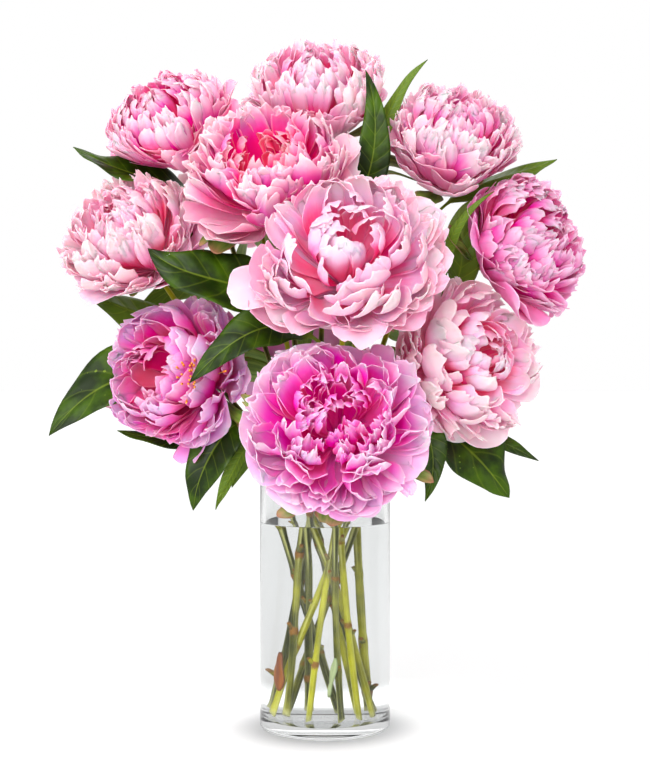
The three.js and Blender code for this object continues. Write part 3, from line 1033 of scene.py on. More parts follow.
@dataclass
class PetalMaker:
    """Works out the grids of all petals of one bloom at once.

    Attributes:
        place: Where the bloom stands.
        form: How its heart stands.
        neighbours: Planes in which it presses against other blooms, or lies on a leaf.
        rows: Points along a petal.
        columns: Points across it.
    """

    place: BloomPlace
    form: HeartForm
    neighbours: list[Plane]
    rows: int
    columns: int

    def midline(self, petals: PetalSet, part: np.ndarray) -> tuple[np.ndarray, np.ndarray]:
        """The middle line of each petal in the plane of its radius and the axis.

        A cubic Bezier curve from the base to the tip. It starts leaning out by about the
        angle of its tip, follows the bowl, and ends in a direction between straight out and
        along the dome towards the heart, by incurve.

        Args:
            petals: The petals.
            part: Share of the length, shape (P, M, N).

        Returns:
            Places and unit directions, each (P, M, N, 2) with radius and height last.
        """
        first_arm, last_arm = 0.42, 0.34
        tip, inward = petals.tip, petals.incurve
        end = np.stack(petals.outline(self.place, self.form), axis=-1)
        start_radius = 1.5 * MM + 5 * MM * np.clip(tip / (math.pi / 2), 0, 1.1)
        start = np.stack([start_radius, np.zeros_like(tip)], axis=-1)
        lean_out = np.clip(0.92 * tip + 0.06, 0.05, 1.45)
        outward = np.stack([np.sin(lean_out), np.cos(lean_out)], axis=-1)
        straight_out = np.stack([np.sin(tip), np.cos(tip)], axis=-1)
        over_heart = np.stack([-np.cos(tip), np.sin(tip)], axis=-1)
        end_way = unit((1 - inward)[:, None] * straight_out + inward[:, None] * over_heart)
        span = np.linalg.norm(end - start, axis=-1, keepdims=True)
        leaving, arriving = start + first_arm * span * outward, end - last_arm * span * end_way
        knots = [knot[:, None, None] for knot in (start, leaving, arriving, end)]
        share = part[..., None]
        return bezier(knots, share), unit(bezier_way(knots, share))

    def fitted(self, petals: PetalSet) -> PetalSet:
        """Shortens each petal whose tip would reach over the plane of a neighbouring bloom.

        The arm from the widest ring's middle to the tip is cut where it meets the plane.

        Args:
            petals: The petals.

        Returns:
            The same petals with their own reach.
        """
        shortest = 0.5
        radius, height = petals.outline(self.place, self.form)
        local = np.stack([radius * np.cos(petals.spin), radius * np.sin(petals.spin), height], axis=-1)
        tips = self.place.base + local @ self.place.basis()
        arms = tips - self.place.centre
        share = np.ones(len(tips))
        for origin, outward in self.neighbours:
            over = (tips - origin) @ outward + petals.slack
            cut = 1 - over / np.maximum(arms @ outward, TINY)
            share = np.where(over > 0, np.minimum(share, cut), share)
        return replace(petals, reach=petals.reach * np.clip(share, shortest, 1))

    @staticmethod
    def spread(count: int, rng: np.random.Generator) -> Callable[[float, float], np.ndarray]:
        """A draw of one number for each petal between two, ready to broadcast over its grid."""
        return lambda low, high: rng.uniform(low, high, count)[:, None, None]

    def scallops(self, count: int, rng: np.random.Generator) -> np.ndarray:
        """Uneven small waves across each petal: noise of three parts smooth to one rough.

        Args:
            count: Number of petals.
            rng: Source of the noise.

        Returns:
            The waves, shape (P, 1, N).
        """
        rough = rng.uniform(-1, 1, (count, 1, self.columns + 2))
        even = 0.25 * rough[..., :-2] + 0.5 * rough[..., 1:-1] + 0.25 * rough[..., 2:]
        return 1.6 * even + 0.12 * rough[..., 1:-1]

    def shares(self, frill: np.ndarray, rng: np.random.Generator) -> np.ndarray:
        """How far along its petal each point lies, which shapes the outline of the tip.

        The corners droop, a notch stands near the middle, and small scallops trim the edge.

        Args:
            frill: Depth of the scallops, shape (P, 1, 1).
            rng: Source of the differences between petals.

        Returns:
            Shares of the length, shape (P, M, N).
        """
        each = self.spread(len(frill), rng)
        t = np.linspace(-1, 1, self.columns)
        along = 1 - (1 - np.linspace(0, 1, self.rows)[:, None]) ** 1.8
        notch = each(-0.05, 0.1).clip(0) * hump(t - each(-0.5, 0.5), each(0.14, 0.3))
        droop = each(0.08, 0.2) * np.abs(t) ** 2.2
        trim = frill * self.scallops(len(frill), rng)
        return along * (1 - droop * along - (notch + trim) * along**4)

    def across(
        self, grid: dict[str, np.ndarray], part: np.ndarray, rng: np.random.Generator
    ) -> tuple[np.ndarray, np.ndarray]:
        """The cross section of each petal all along it.

        It is an arc: at share t of its half width w it stands w*t*sin(b)/b to the side and
        w*t*(1-cos(b))/b towards the heart, with b = cup * t. On it lie broad and short waves
        that grow towards the tip, uneven ruffles at the tip, a flutter along the sides, the
        tip's curl and a crease down the middle. At last it turns about its middle by lean.

        Args:
            grid: The petals' values, shape (P, 1, 1) each.
            part: Shares of the length, shape (P, M, N).
            rng: Source of the differences between petals.

        Returns:
            Distances to the side and towards the heart, shape (P, M, N) each.
        """
        least_bend, crease_depth = 1e-6, 0.9 * MM
        each = self.spread(len(part), rng)
        ruffle = grid["ruffle"]
        t = np.linspace(-1, 1, self.columns)
        widen = 0.16 + 0.84 * smooth(part, 0.05, 0.8)
        narrow = np.sqrt(1 - 0.62 * np.clip((part - 0.76) / 0.24, 0, 1) ** 2.6)
        width = grid["half"] * widen * narrow
        bend = grid["cup"] * t * (0.6 + 0.4 * part) + least_bend
        sideways = width * t * np.sin(bend) / bend
        inwards = width * t * (1 - np.cos(bend)) / bend
        tall = part**3 * (0.3 + 0.7 * np.abs(t))
        broad_wave = np.sin(each(2.5, 5.0) * t + each(0, 6.3) + 2.2 * part)
        short_wave = np.sin(each(6, 10) * t + each(0, 6.3) - 1.5 * part)
        inwards = inwards + ruffle * tall * (broad_wave + 0.8 * part**2 * short_wave)
        inwards = inwards + 0.6 * ruffle * part**6 * self.scallops(len(part), rng)
        flutter = np.sin(each(7, 12) * part + each(0, 6.3) + 1.5 * np.sign(t))
        inwards = inwards + 0.4 * ruffle * np.abs(t) ** 3 * part * flutter
        curl = grid["curl"] * np.clip((part - 0.6) / 0.4, 0, 1) ** 2
        inwards = inwards + curl - each(0, 1) * crease_depth * hump(t, 0.22) * part
        lean = grid["lean"] * part
        return (
            sideways * np.cos(lean) - inwards * np.sin(lean),
            sideways * np.sin(lean) + inwards * np.cos(lean),
        )

    def grids(
        self, petals: PetalSet, rng: np.random.Generator
    ) -> tuple[np.ndarray, dict[str, np.ndarray], np.ndarray]:
        """Every petal as a grid of points in the world.

        Its cross sections stand on its middle line, which is turned round the bloom's axis by
        spin and swings a little to one side towards the tip.

        Args:
            petals: The petals.
            rng: Source of the small differences between petals.

        Returns:
            Places (P, M, N, 3), their values by name and the share of the length.
        """
        widest_reach = 1.06
        each = self.spread(len(petals.spin), rng)
        petals = self.fitted(petals)
        grid = {key: value[:, None, None] for key, value in vars(petals).items()}
        part = self.shares(grid["frill"], rng)
        tangent, inwards = self.across(grid, part, rng)
        place, way = self.midline(petals, part)
        radial = place[..., 0] - way[..., 1] * inwards
        height = place[..., 1] + way[..., 0] * inwards
        spin = grid["spin"] + each(-0.2, 0.2) * part**2
        local = np.stack([
            radial * np.cos(spin) - tangent * np.sin(spin),
            radial * np.sin(spin) + tangent * np.cos(spin),
            height,
        ], axis=-1)
        local, inside = self.held_in(local, np.maximum(grid["reach"] / widest_reach, 1.0))
        side = np.abs(np.linspace(-1, 1, self.columns))
        values = {
            # depth feeds painted shade: deeper pink down inside the bloom, and a little at each petal's
            # base
            "depth": np.clip(inside * 1.9 + 0.22 * (1 - part) ** 2, 0, 1),
            "rim": np.clip(np.maximum((part - 0.7) / 0.3, (side - 0.75) / 0.25 * part), 0, 1),
            "tint": each(0, 1),
            "guard": grid["guard"],
        }
        world = self.place.base + local @ self.place.basis()
        return self.kept_clear(world, grid["slack"]), values, part

    def held_in(self, local: np.ndarray, spare: np.ndarray) -> tuple[np.ndarray, np.ndarray]:
        """Draws points back that stand far outside the bloom's outline.

        The outline is an ellipsoid about the widest ring's middle. With q = 1 on it, a point
        beyond 0.95 goes to 0.95 + 0.16 * (1 - exp(-(q - 0.95) / 0.16)).

        Args:
            local: Places above the base, in the bloom's own directions.
            spare: Factor by which a petal may stand further out.

        Returns:
            The new places, and how deep each lies inside the outline as a share.
        """
        start, room = 0.95, 0.16
        middle = UP * BOWL_SHARE * self.place.radius
        lifted = local - middle
        rise = np.where(lifted[..., 2] > 0, self.place.depth, middle[2])
        across = np.hypot(lifted[..., 0], lifted[..., 1]) / self.place.radius
        q = np.hypot(across, lifted[..., 2] / rise) / spare
        held = np.where(q > start, start + room * (1 - np.exp(-(q - start) / room)), q)
        lifted = lifted * (held / np.maximum(q, TINY))[..., None]
        return lifted + middle, np.clip(1 - held, 0, 1)

    def kept_clear(self, world: np.ndarray, slack: np.ndarray) -> np.ndarray:
        """Presses petals flat where another bloom or the vase is in the way.

        Within a margin m in front of a plane, a height d above it becomes
        m * (1 - exp(-d / m)), so that the layers get closer and never cross. Below the rim of
        the vase points keep outside the glass.

        Args:
            world: Places of the petals.
            slack: How far short of the plane each petal already stops.

        Returns:
            The new places.
        """
        margin, glass_gap, rim_gap = 7 * MM, 1.5 * MM, 2 * MM
        for origin, outward in self.neighbours:
            over = (world - origin) @ outward + margin + slack
            pressed = margin * (1 - np.exp(-np.maximum(over, 0) / margin))
            world = world - np.maximum(over - pressed, 0)[..., None] * outward
        vase_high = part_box("vase")[1]
        clear = vase_high[0] + glass_gap
        low = world[..., 2] < vase_high[2] + rim_gap
        out = np.hypot(world[..., 0], world[..., 1])
        push = np.where(low & (out < clear), clear / np.maximum(out, TINY), 1.0)
        world[..., :2] *= push[..., None]
        return world

    def surface(self, petals: PetalSet, rng: np.random.Generator) -> Surface:
        """All petals as closed thin shells, from 0.6 mm at the base to 0.14 mm at the edge.

        Args:
            petals: The petals.
            rng: Source of the small differences between petals.

        Returns:
            The shells as one surface, with its pattern in metres.
        """
        base_thickness, edge_thickness, pattern_length = 0.6 * MM, 0.14 * MM, 1.2
        grids, values, part = self.grids(petals, rng)
        shift = rng.uniform(0, 1, (len(grids), 2))[:, :, None, None]
        across = np.linspace(-1, 1, self.columns) * petals.half[:, None, None]
        length = pattern_length * self.place.radius
        pattern = (across + shift[:, 0], part * length + shift[:, 1])
        thickness = base_thickness - (base_thickness - edge_thickness) * part
        return shells(grids, thickness, values, pattern)


@dataclass
class Bloom:
    """One double peony: guard petals below, ruffled petals above.

    Attributes:
        name: The bloom's name in the node names.
        finish: Its colours.
        heart: How its middle stands.
        seed: Start of its random numbers.
        slot: The record's word for its pink.
        widen: Factor on the widths of its petals.
        strays: Outer petals that hang out of it.
        leaf_below: The way from its middle to a leaf that it lies on, if there is one.
    """

    # slot: A word for its pink; not used.
    name: str
    finish: PetalFinish
    heart: Heart
    seed: int
    slot: str = "rose"
    widen: float = 1.0
    strays: tuple[Stray, ...] = ()
    leaf_below: Optional[tuple[float, float, float]] = None

    def build(self, places: dict[str, BloomPlace]) -> list[Plane]:
        """Makes both petal pieces and puts them in place of their CAD nodes.

        Args:
            places: Where all blooms stand.

        Returns:
            The planes in which its neighbours press on it.
        """
        place = places[self.name]
        form = self.heart.value
        rng = np.random.default_rng(self.seed)
        others = [other for other in places.values() if other is not place]
        planes = [plane for other in others for plane in place.shared_planes(other)]
        if self.leaf_below:
            way = np.array(self.leaf_below)
            planes.append((place.centre + way, unit(way)))
        sets = [whorl.draw(self.widen, rng) for whorl in form.whorls]
        outer = sets[:1] + ([PetalSet.loose_ones(self.strays, rng)] if self.strays else [])
        material = self.finish.material()
        guard_grid = (12, 17)
        for label, group, grid in (("guard", outer, guard_grid), ("inner", sets[1:], form.grid)):
            maker = PetalMaker(place, form, planes, *grid)
            piece = maker.surface(PetalSet.joined(group), rng).build(f"{label}_ruffle_{self.name}")
            dress(piece, [material], f"{label}_petals_{self.name}")
        return planes


# Sepals and stamens --------------------------------------------------------------------------


@dataclass(frozen=True)
class SepalFinish:
    """The matte skin of a sepal or an old leaf base.

    Attributes:
        name: The material's name.
        skin: Its colour.
        pale: Colour of its streaks.
        edge: Colour along its edges.
    """

    name: str
    skin: str
    pale: str
    edge: str

    def material(self) -> bpy.types.Material:
        """Matte skin with fine lengthwise streaks.

        Returns:
            The material.
        """
        material, nodes = new_material(self.name)
        streaks = nodes.noise(nodes.pattern(), (300, 12, 1), 3.0)
        paint = nodes.mix(nodes.ramp(streaks, 0.3, 0.7), self.skin, self.pale)
        rim = nodes.uneven(nodes.value_of("rim"), streaks, 0.8)
        paint = nodes.mix(nodes.ramp(rim, 0.3, 1.1), paint, self.edge, most=0.8)
        normal = nodes.relief(streaks, 0.4, 0.3 * MM)
        nodes.finish(nodes.skin(paint, 0.5, {"Specular IOR Level": 0.4, "Normal": normal}))
        return material


@dataclass
class Calyx:
    """The green sepals that hold a bloom from behind, and the narrow bracts under them.

    Attributes:
        place: The bloom they hold.
        seed: Start of its random numbers.
    """

    place: BloomPlace
    seed: int

    def build(self, planes: list[Plane], material: bpy.types.Material) -> None:
        """Five broad sepals and four narrow bracts, as petals that hug the bowl's outside.

        Args:
            planes: The planes in which neighbours press on the bloom.
            material: Their skin.
        """
        below = 3.2 * MM
        rng = np.random.default_rng(self.seed)
        petals = PetalSet.joined([whorl.draw(1.0, rng) for whorl in (SEPALS, BRACTS)])
        lowered = replace(self.place, base=self.place.base - self.place.axis * below)
        maker = PetalMaker(lowered, Heart.HIDDEN.value, planes, 7, 7)
        piece = maker.surface(petals, rng).build(f"sepals_{self.place.name}")
        dress(piece, [material])


@dataclass(frozen=True)
class StamenFinish:
    """Powdery stamens.

    Attributes:
        thread: Colour of the threads.
        head: Colour of the heads.
    """

    thread: str = "#f0c24a"
    head: str = "#ee7a14"

    def material(self) -> bpy.types.Material:
        """Matte and powdery, with the colour of the head where the value head is 1.

        Returns:
            The material.
        """
        material, nodes = new_material("stamen_skin")
        powder = nodes.noise(nodes.place(), 1400.0)
        mark = nodes.uneven(nodes.value_of("head"), powder, 0.6)
        nodes.finish(nodes.skin(nodes.mix(nodes.ramp(mark, 0.2, 0.8), self.thread, self.head), 0.8))
        return material


@dataclass
class Stamens:
    """A tuft of stamens that shows between the petals of an open bloom.

    Attributes:
        place: The bloom.
        spin: Angle in degrees round its axis at which they stand.
        tip: Their angle in degrees from its axis.
        count: How many there are.
        seed: Start of its random numbers.
        sides: Points round a thread.
    """

    place: BloomPlace
    spin: float
    tip: float
    count: int
    seed: int
    sides: int = 6

    def path(self, share: np.ndarray, rng: np.random.Generator) -> np.ndarray:
        """One thread, which rises first and then bows outwards.

        Args:
            share: Shares of its height.
            rng: Source of the differences between threads.

        Returns:
            Places along it.
        """
        spin = math.radians(self.spin + rng.normal(0, 9))
        tip = math.radians(self.tip + rng.normal(0, 6))
        far = rng.uniform(0.96, 1.05)
        across = far * self.place.radius * math.sin(tip) * share ** rng.uniform(1.2, 1.5)
        height = BOWL_SHARE * self.place.radius + far * self.place.depth * math.cos(tip)
        local = np.stack([across * math.cos(spin), across * math.sin(spin), height * share], axis=-1)
        return self.place.base + local @ self.place.basis()

    def build(self) -> None:
        """Threads 0.5 mm thick, each with a head 4 mm long and 1.9 mm thick."""
        rng = np.random.default_rng(self.seed)
        share = np.concatenate([np.linspace(0, 0.9, 6), np.linspace(0.92, 1.0, 7)])
        oval = np.sqrt(np.clip(1 - ((share - 0.96) / 0.041) ** 2, 0, 1))
        head = smooth(share, 0.90, 0.93) * oval
        radii = 0.25 * MM + 0.7 * MM * head
        threads = [tube_rings(self.path(share, rng), radii, self.sides) for _ in range(self.count)]
        closed = closed_rings(np.array(threads), 1e-3)
        rings = closed.shape[1]
        starts = np.arange(self.count)[:, None, None] * rings * self.sides
        quads = (tube_quads(rings, self.sides) + starts).reshape(-1, 4)
        along = np.concatenate([[0.0], head, [1.0]])
        values = {"head": np.tile(np.repeat(along, self.sides), self.count)}
        piece = Surface(closed.reshape(-1, 3), quads, values).build(f"stamens_{self.place.name}")
        dress(piece, [StamenFinish().material()])


# Stems ---------------------------------------------------------------------------------------


@dataclass(frozen=True)
class StemFinish:
    """Green skin with pale streaks, brown at the joints and a pale cut end.

    Attributes:
        young: Colour of the freshest stems.
        old: Colour of the oldest.
        streak: Colour of the stem's own pale streaks, made brighter as painted highlights.
        joint: Colour of the swollen joints.
        cut: Colour of the cut end.
    """

    young: str = "#aeac0e"
    old: str = "#2d3300"
    streak: str = "#e6e692"
    joint: str = "#7d541a"
    cut: str = "#c9c78f"

    def material(self) -> bpy.types.Material:
        """Satin skin whose colour drifts along the stem, ribbed lengthwise.

        Returns:
            The material.
        """
        material, nodes = new_material("stem_skin")
        place = nodes.place()
        ribs = nodes.noise(nodes.pattern(), (5, 10, 1))
        clouds = nodes.noise(place, 26.0, 3.0)
        drift = nodes.math("MULTIPLY_ADD", nodes.value_of("age"), 0.55, clouds)
        paint = nodes.mix(nodes.ramp(drift, 0.45, 0.95), self.young, self.old)
        # pale lengthwise streaks: partly the stem's own, partly brightened as painted highlights
        paint = nodes.mix(nodes.ramp(ribs, 0.4, 0.75), paint, self.streak, most=0.5)
        mark = nodes.uneven(nodes.value_of("joint"), nodes.noise(place, 160.0, 3.0), 1.4)
        paint = nodes.mix(nodes.ramp(mark, 0.35, 0.8), paint, self.joint)
        paint = nodes.mix(nodes.value_of("cut"), paint, self.cut)
        normal = nodes.relief(ribs, 0.5, 0.3 * MM)
        nodes.finish(nodes.skin(paint, 0.42, {"Specular IOR Level": 0.15, "Normal": normal}))
        return material


@dataclass
class Stem:
    """One stem from its cut foot on the vase floor to the base of its bloom.

    Attributes:
        place: The bloom it carries.
        seed: Start of its random numbers.
        sides: Points round it.
        rings: Rings along it.
    """

    place: BloomPlace
    seed: int
    sides: int = 12
    rings: int = 72

    def stub(self, spot: np.ndarray, radius: float, rng: np.random.Generator) -> Surface:
        """A short cut-off leaf stalk.

        It is a small cone that starts inside the stem and leans up and out of it, with a flat
        cut end.

        Args:
            spot: Its root in the stem's middle.
            radius: The stem's radius there.
            rng: Source of the differences between stubs.

        Returns:
            The closed surface.
        """
        sides = 6
        turn = rng.uniform(0, FULL_TURN)
        out = unit(np.array([math.cos(turn), math.sin(turn), rng.uniform(0.7, 1.6)]))
        share = np.array([0.2, 0.7, 1.0])
        line = spot + np.outer(share * rng.uniform(2.0, 3.2) * radius, out)
        closed = closed_rings(tube_rings(line, radius * np.array([0.8, 0.55, 0.42]), sides), 1e-3)
        rings = len(closed)
        points = closed.reshape(-1, 3)
        values = {
            "joint": np.repeat([0.4, 0.4, 0.5, 0.9, 1.0], sides),
            "cut": np.zeros(len(points)),
            "age": np.full(len(points), 0.6),
        }
        return Surface(points, tube_quads(rings, sides), values, points[:, [0, 2]])

    def build(self, material: bpy.types.Material) -> None:
        """A tube with swollen joints, a slanted cut foot and a flared top under the petals.

        Args:
            material: Its skin.
        """
        joint_count = 5
        rng = np.random.default_rng(self.seed)
        line, radius = self.place.stem_line()
        steps = np.linalg.norm(np.diff(line, axis=0), axis=1)
        length = np.concatenate([[0], np.cumsum(steps)])
        even = np.linspace(0, length[-1], self.rings)
        path = sampled(line, length, even)
        joints = np.cumsum(rng.uniform(30, 80, joint_count)) * MM + rng.uniform(-25, 10) * MM
        strength = rng.uniform(0.3, 1.1, joint_count)
        bulge = sum(much * hump(even - joint, 3.2 * MM) for much, joint in zip(strength, joints))
        flare = 4.2 * MM * hump(length[-1] - even, 5 * MM)
        wobble = 1 + 0.05 * np.sin(even / (9 * MM) + rng.uniform(0, 6))
        radii = radius * wobble * (1 + 0.32 * bulge) + flare

        rings = tube_rings(path, radii, self.sides)
        slant = rng.uniform(0.3, 0.9)
        angle = np.linspace(0, FULL_TURN, self.sides, endpoint=False)
        rise = radius * slant * (1 + np.cos(angle + rng.uniform(0, FULL_TURN)))
        rings[0, :, 2] += rise
        rings[1, :, 2] += 0.5 * rise
        rings = closed_rings(rings, 1e-4)

        along = np.concatenate([[0, 0], even[1:], [even[-1]]])
        cut = np.zeros(len(rings))
        cut[:2] = (1.0, 0.7)
        around = np.tile(angle, len(rings)) / FULL_TURN
        values = {
            "joint": np.repeat(np.concatenate([[0], bulge, [0]]), self.sides),
            "cut": np.repeat(cut, self.sides),
            "age": np.full(len(around), rng.uniform(0, 1)),
        }
        uv = np.stack([around, np.repeat(along, self.sides)], axis=-1)
        tube = Surface(rings.reshape(-1, 3), tube_quads(len(rings), self.sides), values, uv)
        bare_foot, bare_neck = 12 * MM, 60 * MM
        stubs = [
            self.stub(sampled(path, even, joint), float(np.interp(joint, even, radii)), rng)
            for joint in joints
            if bare_foot < joint < even[-1] - bare_neck
        ]
        piece = tube.with_parts(stubs).build(f"peony_stem_{self.place.name}")
        dress(piece, [material], f"stem_{self.place.name}")


@dataclass
class Sheath:
    """An old leaf base that stands off its stem under water.

    Attributes:
        name: The piece's name.
        place: The bloom whose stem carries it.
        height: Height of its root above the table.
        length: How far it rises from there, below 0 where it hangs.
        half: Half its width.
        belly: How far its tip stands off the stem.
        side: Angle in degrees about the vertical of the side it stands on.
        rows: Points along it.
        columns: Points across it.
    """

    name: str
    place: BloomPlace
    height: float
    length: float
    half: float
    belly: float
    side: float = 200.0
    rows: int = 14
    columns: int = 9

    def build(self, material: bpy.types.Material) -> None:
        """A pointed oval 0.5 mm thick, hollow towards the stem.

        Args:
            material: Its skin.
        """
        line, radius = self.place.stem_line()
        rising = line[: np.argmax(line[:, 2] > 0.5 * line[-1, 2])]
        u = np.linspace(0, 1, self.rows)[:, None]
        t = np.linspace(-1, 1, self.columns)
        centre = sampled(rising, rising[:, 2], self.height + self.length * u)
        angle = math.radians(self.side)
        out = np.array([math.cos(angle), math.sin(angle), 0.0])
        width = self.half * np.sin(math.pi * (0.05 + 0.93 * u) ** 0.8) ** 0.7
        away = 0.8 * radius + self.belly * np.sin(0.5 * math.pi * u) - 0.5 * width * t**2
        away = away + 0.5 * MM * np.sin(9 * u + 2.5 * t)
        grid = centre + away[..., None] * out + (t * width)[..., None] * np.cross(UP, out)
        values = {"rim": np.maximum(np.abs(t), 2 * u - 1) ** 3}
        surface = shells(grid[None], 0.5 * MM, values, (t * width, u * self.length))
        dress(surface.build(self.name), [material])


# Leaves --------------------------------------------------------------------------------------


@dataclass(frozen=True)
class LeafFinish:
    """A waxy dark leaf with a pale midrib and a duller underside.

    Attributes:
        dark: Colour of its darkest parts.
        light: Colour of its lightest parts.
        rib: Colour of the midrib, the veins and the stalk.
        under: Colour of its underside.
    """

    dark: str = "#152600"
    light: str = "#3d5a00"
    rib: str = "#7f9428"
    under: str = "#5b7520"

    def material(self) -> bpy.types.Material:
        """Colour and relief from the leaf's UV: u across from -1 to 1, v along in widths.

        Returns:
            The material.
        """
        material, nodes = new_material("leaf_skin")
        place = nodes.place()
        across, along, _ = nodes.add("SeparateXYZ", {0: nodes.pattern()}).outputs
        away = nodes.math("ABSOLUTE", across)
        slanted = nodes.math("MULTIPLY_ADD", away, -0.75, along)
        bend = nodes.math("MULTIPLY_ADD", nodes.noise(place, 60.0), 0.12, slanted)
        veins = nodes.math("PINGPONG", nodes.math("MULTIPLY", bend, 3.1), 1.0)
        vein = nodes.math("SUBTRACT", 1.0, nodes.ramp(veins, 0.0, 0.16))
        rib = nodes.math("SUBTRACT", 1.0, nodes.ramp(away, 0.01, 0.06))
        drift = nodes.noise(place, 45.0, 4.0)
        paint = nodes.mix(nodes.ramp(drift, 0.35, 0.7), self.dark, self.light)
        paint = nodes.mix(vein, paint, self.rib, most=0.16)
        paint = nodes.mix(rib, paint, self.rib, most=0.42)
        under = nodes.mix(nodes.math("MAXIMUM", rib, vein), self.under, self.rib, most=0.6)
        paint = nodes.mix(nodes.value_of("under"), paint, under)
        paint = nodes.mix(nodes.value_of("stalk"), paint, self.rib)
        rise = nodes.ramp(away, 0.0, 0.2)
        height = nodes.math("MULTIPLY_ADD", nodes.ramp(veins, 0.0, 0.7), 0.8, rise)
        normal = nodes.relief(height, 0.55, 0.5 * MM)
        wax = nodes.skin(paint, 0.42, {"Specular IOR Level": 0.22, "Normal": normal})
        through = nodes.add("BsdfTranslucent", {"Color": paint, "Normal": normal})
        nodes.finish(nodes.add("MixShader", {0: 0.18, 1: wax.outputs[0], 2: through.outputs[0]}))
        return material


@dataclass
class Leaf:
    """One leaf: a stalk and a folded, wavy blade that follows its CAD node.

    Attributes:
        name: The leaf's name in the node names.
        seed: Start of its random numbers.
        full: Width of the living blade as a multiple of its plain solid's.
        rows: Points along it.
        columns: Points across it.
    """

    name: str
    seed: int
    full: float
    rows: int = 34
    columns: int = 13

    def measured(self, cuts: int = 14) -> tuple[np.ndarray, np.ndarray, float]:
        """Cuts the CAD leaf across and fits curves to the cuts' middles and directions.

        Args:
            cuts: How many cuts are made.

        Returns:
            The midrib's points and the blade's side directions, root first, and its half width.
        """
        tip_share, middle_degree, side_degree, least_weight = 0.02, 4, 2, 2 * MM
        mesh = node_mesh(f"leaf_{self.name}")
        points = mesh[0]
        middle = points.mean(axis=0)
        way = np.linalg.svd(points - middle, full_matrices=False)[2][0]
        along = (points - middle) @ way
        ends = points[[np.argmin(along), np.argmax(along)]]
        if np.linalg.norm(ends[0, :2]) > np.linalg.norm(ends[1, :2]):
            way, ends = -way, ends[::-1]
        span = (ends - middle) @ way
        inset = tip_share * np.ptp(span)
        centres, sides, halves = [], [], []
        for station in np.linspace(span[0] + inset, span[1] - inset, cuts):
            cut = section(mesh, middle + way * station, way)
            spread = cut.reshape(-1, 3)
            spread = spread - spread.mean(axis=0)
            side = np.linalg.svd(spread, full_matrices=False)[2][0]
            if sides and side @ sides[-1] < 0:
                side = -side
            centres.append(section_middle(cut))
            sides.append(side)
            halves.append(np.ptp(spread @ side) / 2)
        weights = np.array(halves)
        share = np.linspace(0, 1, cuts)
        fine = np.linspace(-tip_share, 1 + tip_share, self.rows)

        def curve(values: list[np.ndarray], degree: int) -> np.ndarray:
            """Fits a polynomial to each coordinate, where wide cuts count for more."""
            lines = np.polyfit(share, np.array(values), degree, w=weights + least_weight)
            return np.stack([np.polyval(line, fine) for line in lines.T], axis=-1)

        return curve(centres, middle_degree), curve(sides, side_degree), float(weights.max())

    def build(self, material: bpy.types.Material) -> None:
        """The blade: half width = w * sin(pi * s^0.8)^0.85, folded up along the midrib.

        Its margins wave gently, and its sides droop towards the tip.

        Args:
            material: Its skin.
        """
        stalk = 0.2
        rng = np.random.default_rng(self.seed)
        midrib, sides, half = self.measured()
        half *= self.full
        along = unit(np.gradient(midrib, axis=0))
        sides = unit(sides - (sides * along).sum(axis=1, keepdims=True) * along)
        up = np.cross(sides, along)
        outward = midrib[-1] * np.array([0.3, 1, 0]) + UP * 0.06
        if up.mean(axis=0) @ outward < 0:
            sides, up = -sides, -up

        s = np.linspace(0, 1, self.rows)[:, None]
        t = np.linspace(-1, 1, self.columns)
        off = np.abs(t)
        blade = np.clip((s - stalk) / (1 - stalk), 0, 1)
        width = half * np.maximum(np.sin(math.pi * blade**0.8), 0) ** 0.85
        width = np.maximum(width, 1.25 * MM * (1 - blade) + 0.15 * MM)
        wavy = 1 + 0.05 * np.sin(rng.uniform(16, 24) * s + rng.uniform(0, 6) + np.sign(t))
        broad = smooth(width / half, 0.1, 0.6)
        fold = 0.24 * off * width * broad
        swing = np.sin(rng.uniform(13, 20) * s + 1.7 * np.sign(t) + rng.uniform(0, 6))
        wave = 0.11 * half * broad * t**2 * swing
        droop = -0.16 * half * t**2 * broad * smooth(s, 0.5, 1.0)
        quilt = 0.08 * half * broad * np.sin(38 * (s * 1.3 - 0.25 * off)) * off * (1 - off)
        lift = fold + wave + droop + quilt - 0.35 * MM * hump(t, 0.1)
        across = sides[:, None] * (t * width * wavy)[..., None]
        grid = (midrib[:, None] + across + up[:, None] * lift[..., None])[None]
        if (sheet_normals(grid)[0] * up[:, None]).sum(axis=-1).mean() < 0:
            grid = grid[:, :, ::-1]

        length = np.linalg.norm(np.diff(midrib, axis=0), axis=1).sum()
        thickness = (0.45 + 1.6 * hump(t, 0.12) * (1 - 0.8 * s)) * MM
        values = {"stalk": 1 - smooth(s, stalk - 0.02, stalk + 0.08)}
        surface = shells(grid, thickness, values, (t, s * length / (half * 1.2)))
        surface.values["under"] = np.repeat([0.0, 1.0], self.rows * self.columns)
        piece = surface.build(f"peony_leaf_{self.name}")
        dress(piece, [material], f"leaf_{self.name}")


# Glass and water -----------------------------------------------------------------------------


@dataclass(frozen=True)
class ClearFinish:
    """A clear body.

    Attributes:
        name: The material's name.
        tint: Its colour.
        bending: How strongly its face bends light, 1.0 not at all.
    """

    name: str
    tint: str
    bending: float

    def material(self) -> bpy.types.Material:
        """Clear and smooth, and light from lamps goes straight through.

        Returns:
            The material.
        """
        material, nodes = new_material(self.name)
        streak = nodes.noise(nodes.place(), (30, 30, 9))
        glass = nodes.skin(nodes.mix(streak, self.tint, "#e6eaea", most=0.06), 0.0, {
            "Normal": nodes.relief(streak, 0.05, 0.2 * MM),
            "IOR": self.bending,
            "Transmission Weight": 1.0,
        })
        clear = nodes.add("BsdfTransparent", {"Color": (0.96, 0.97, 0.97, 1)})
        shadow = nodes.add("LightPath").outputs["Is Shadow Ray"]
        nodes.finish(nodes.add("MixShader", {0: shadow, 1: glass.outputs[0], 2: clear.outputs[0]}))
        return material


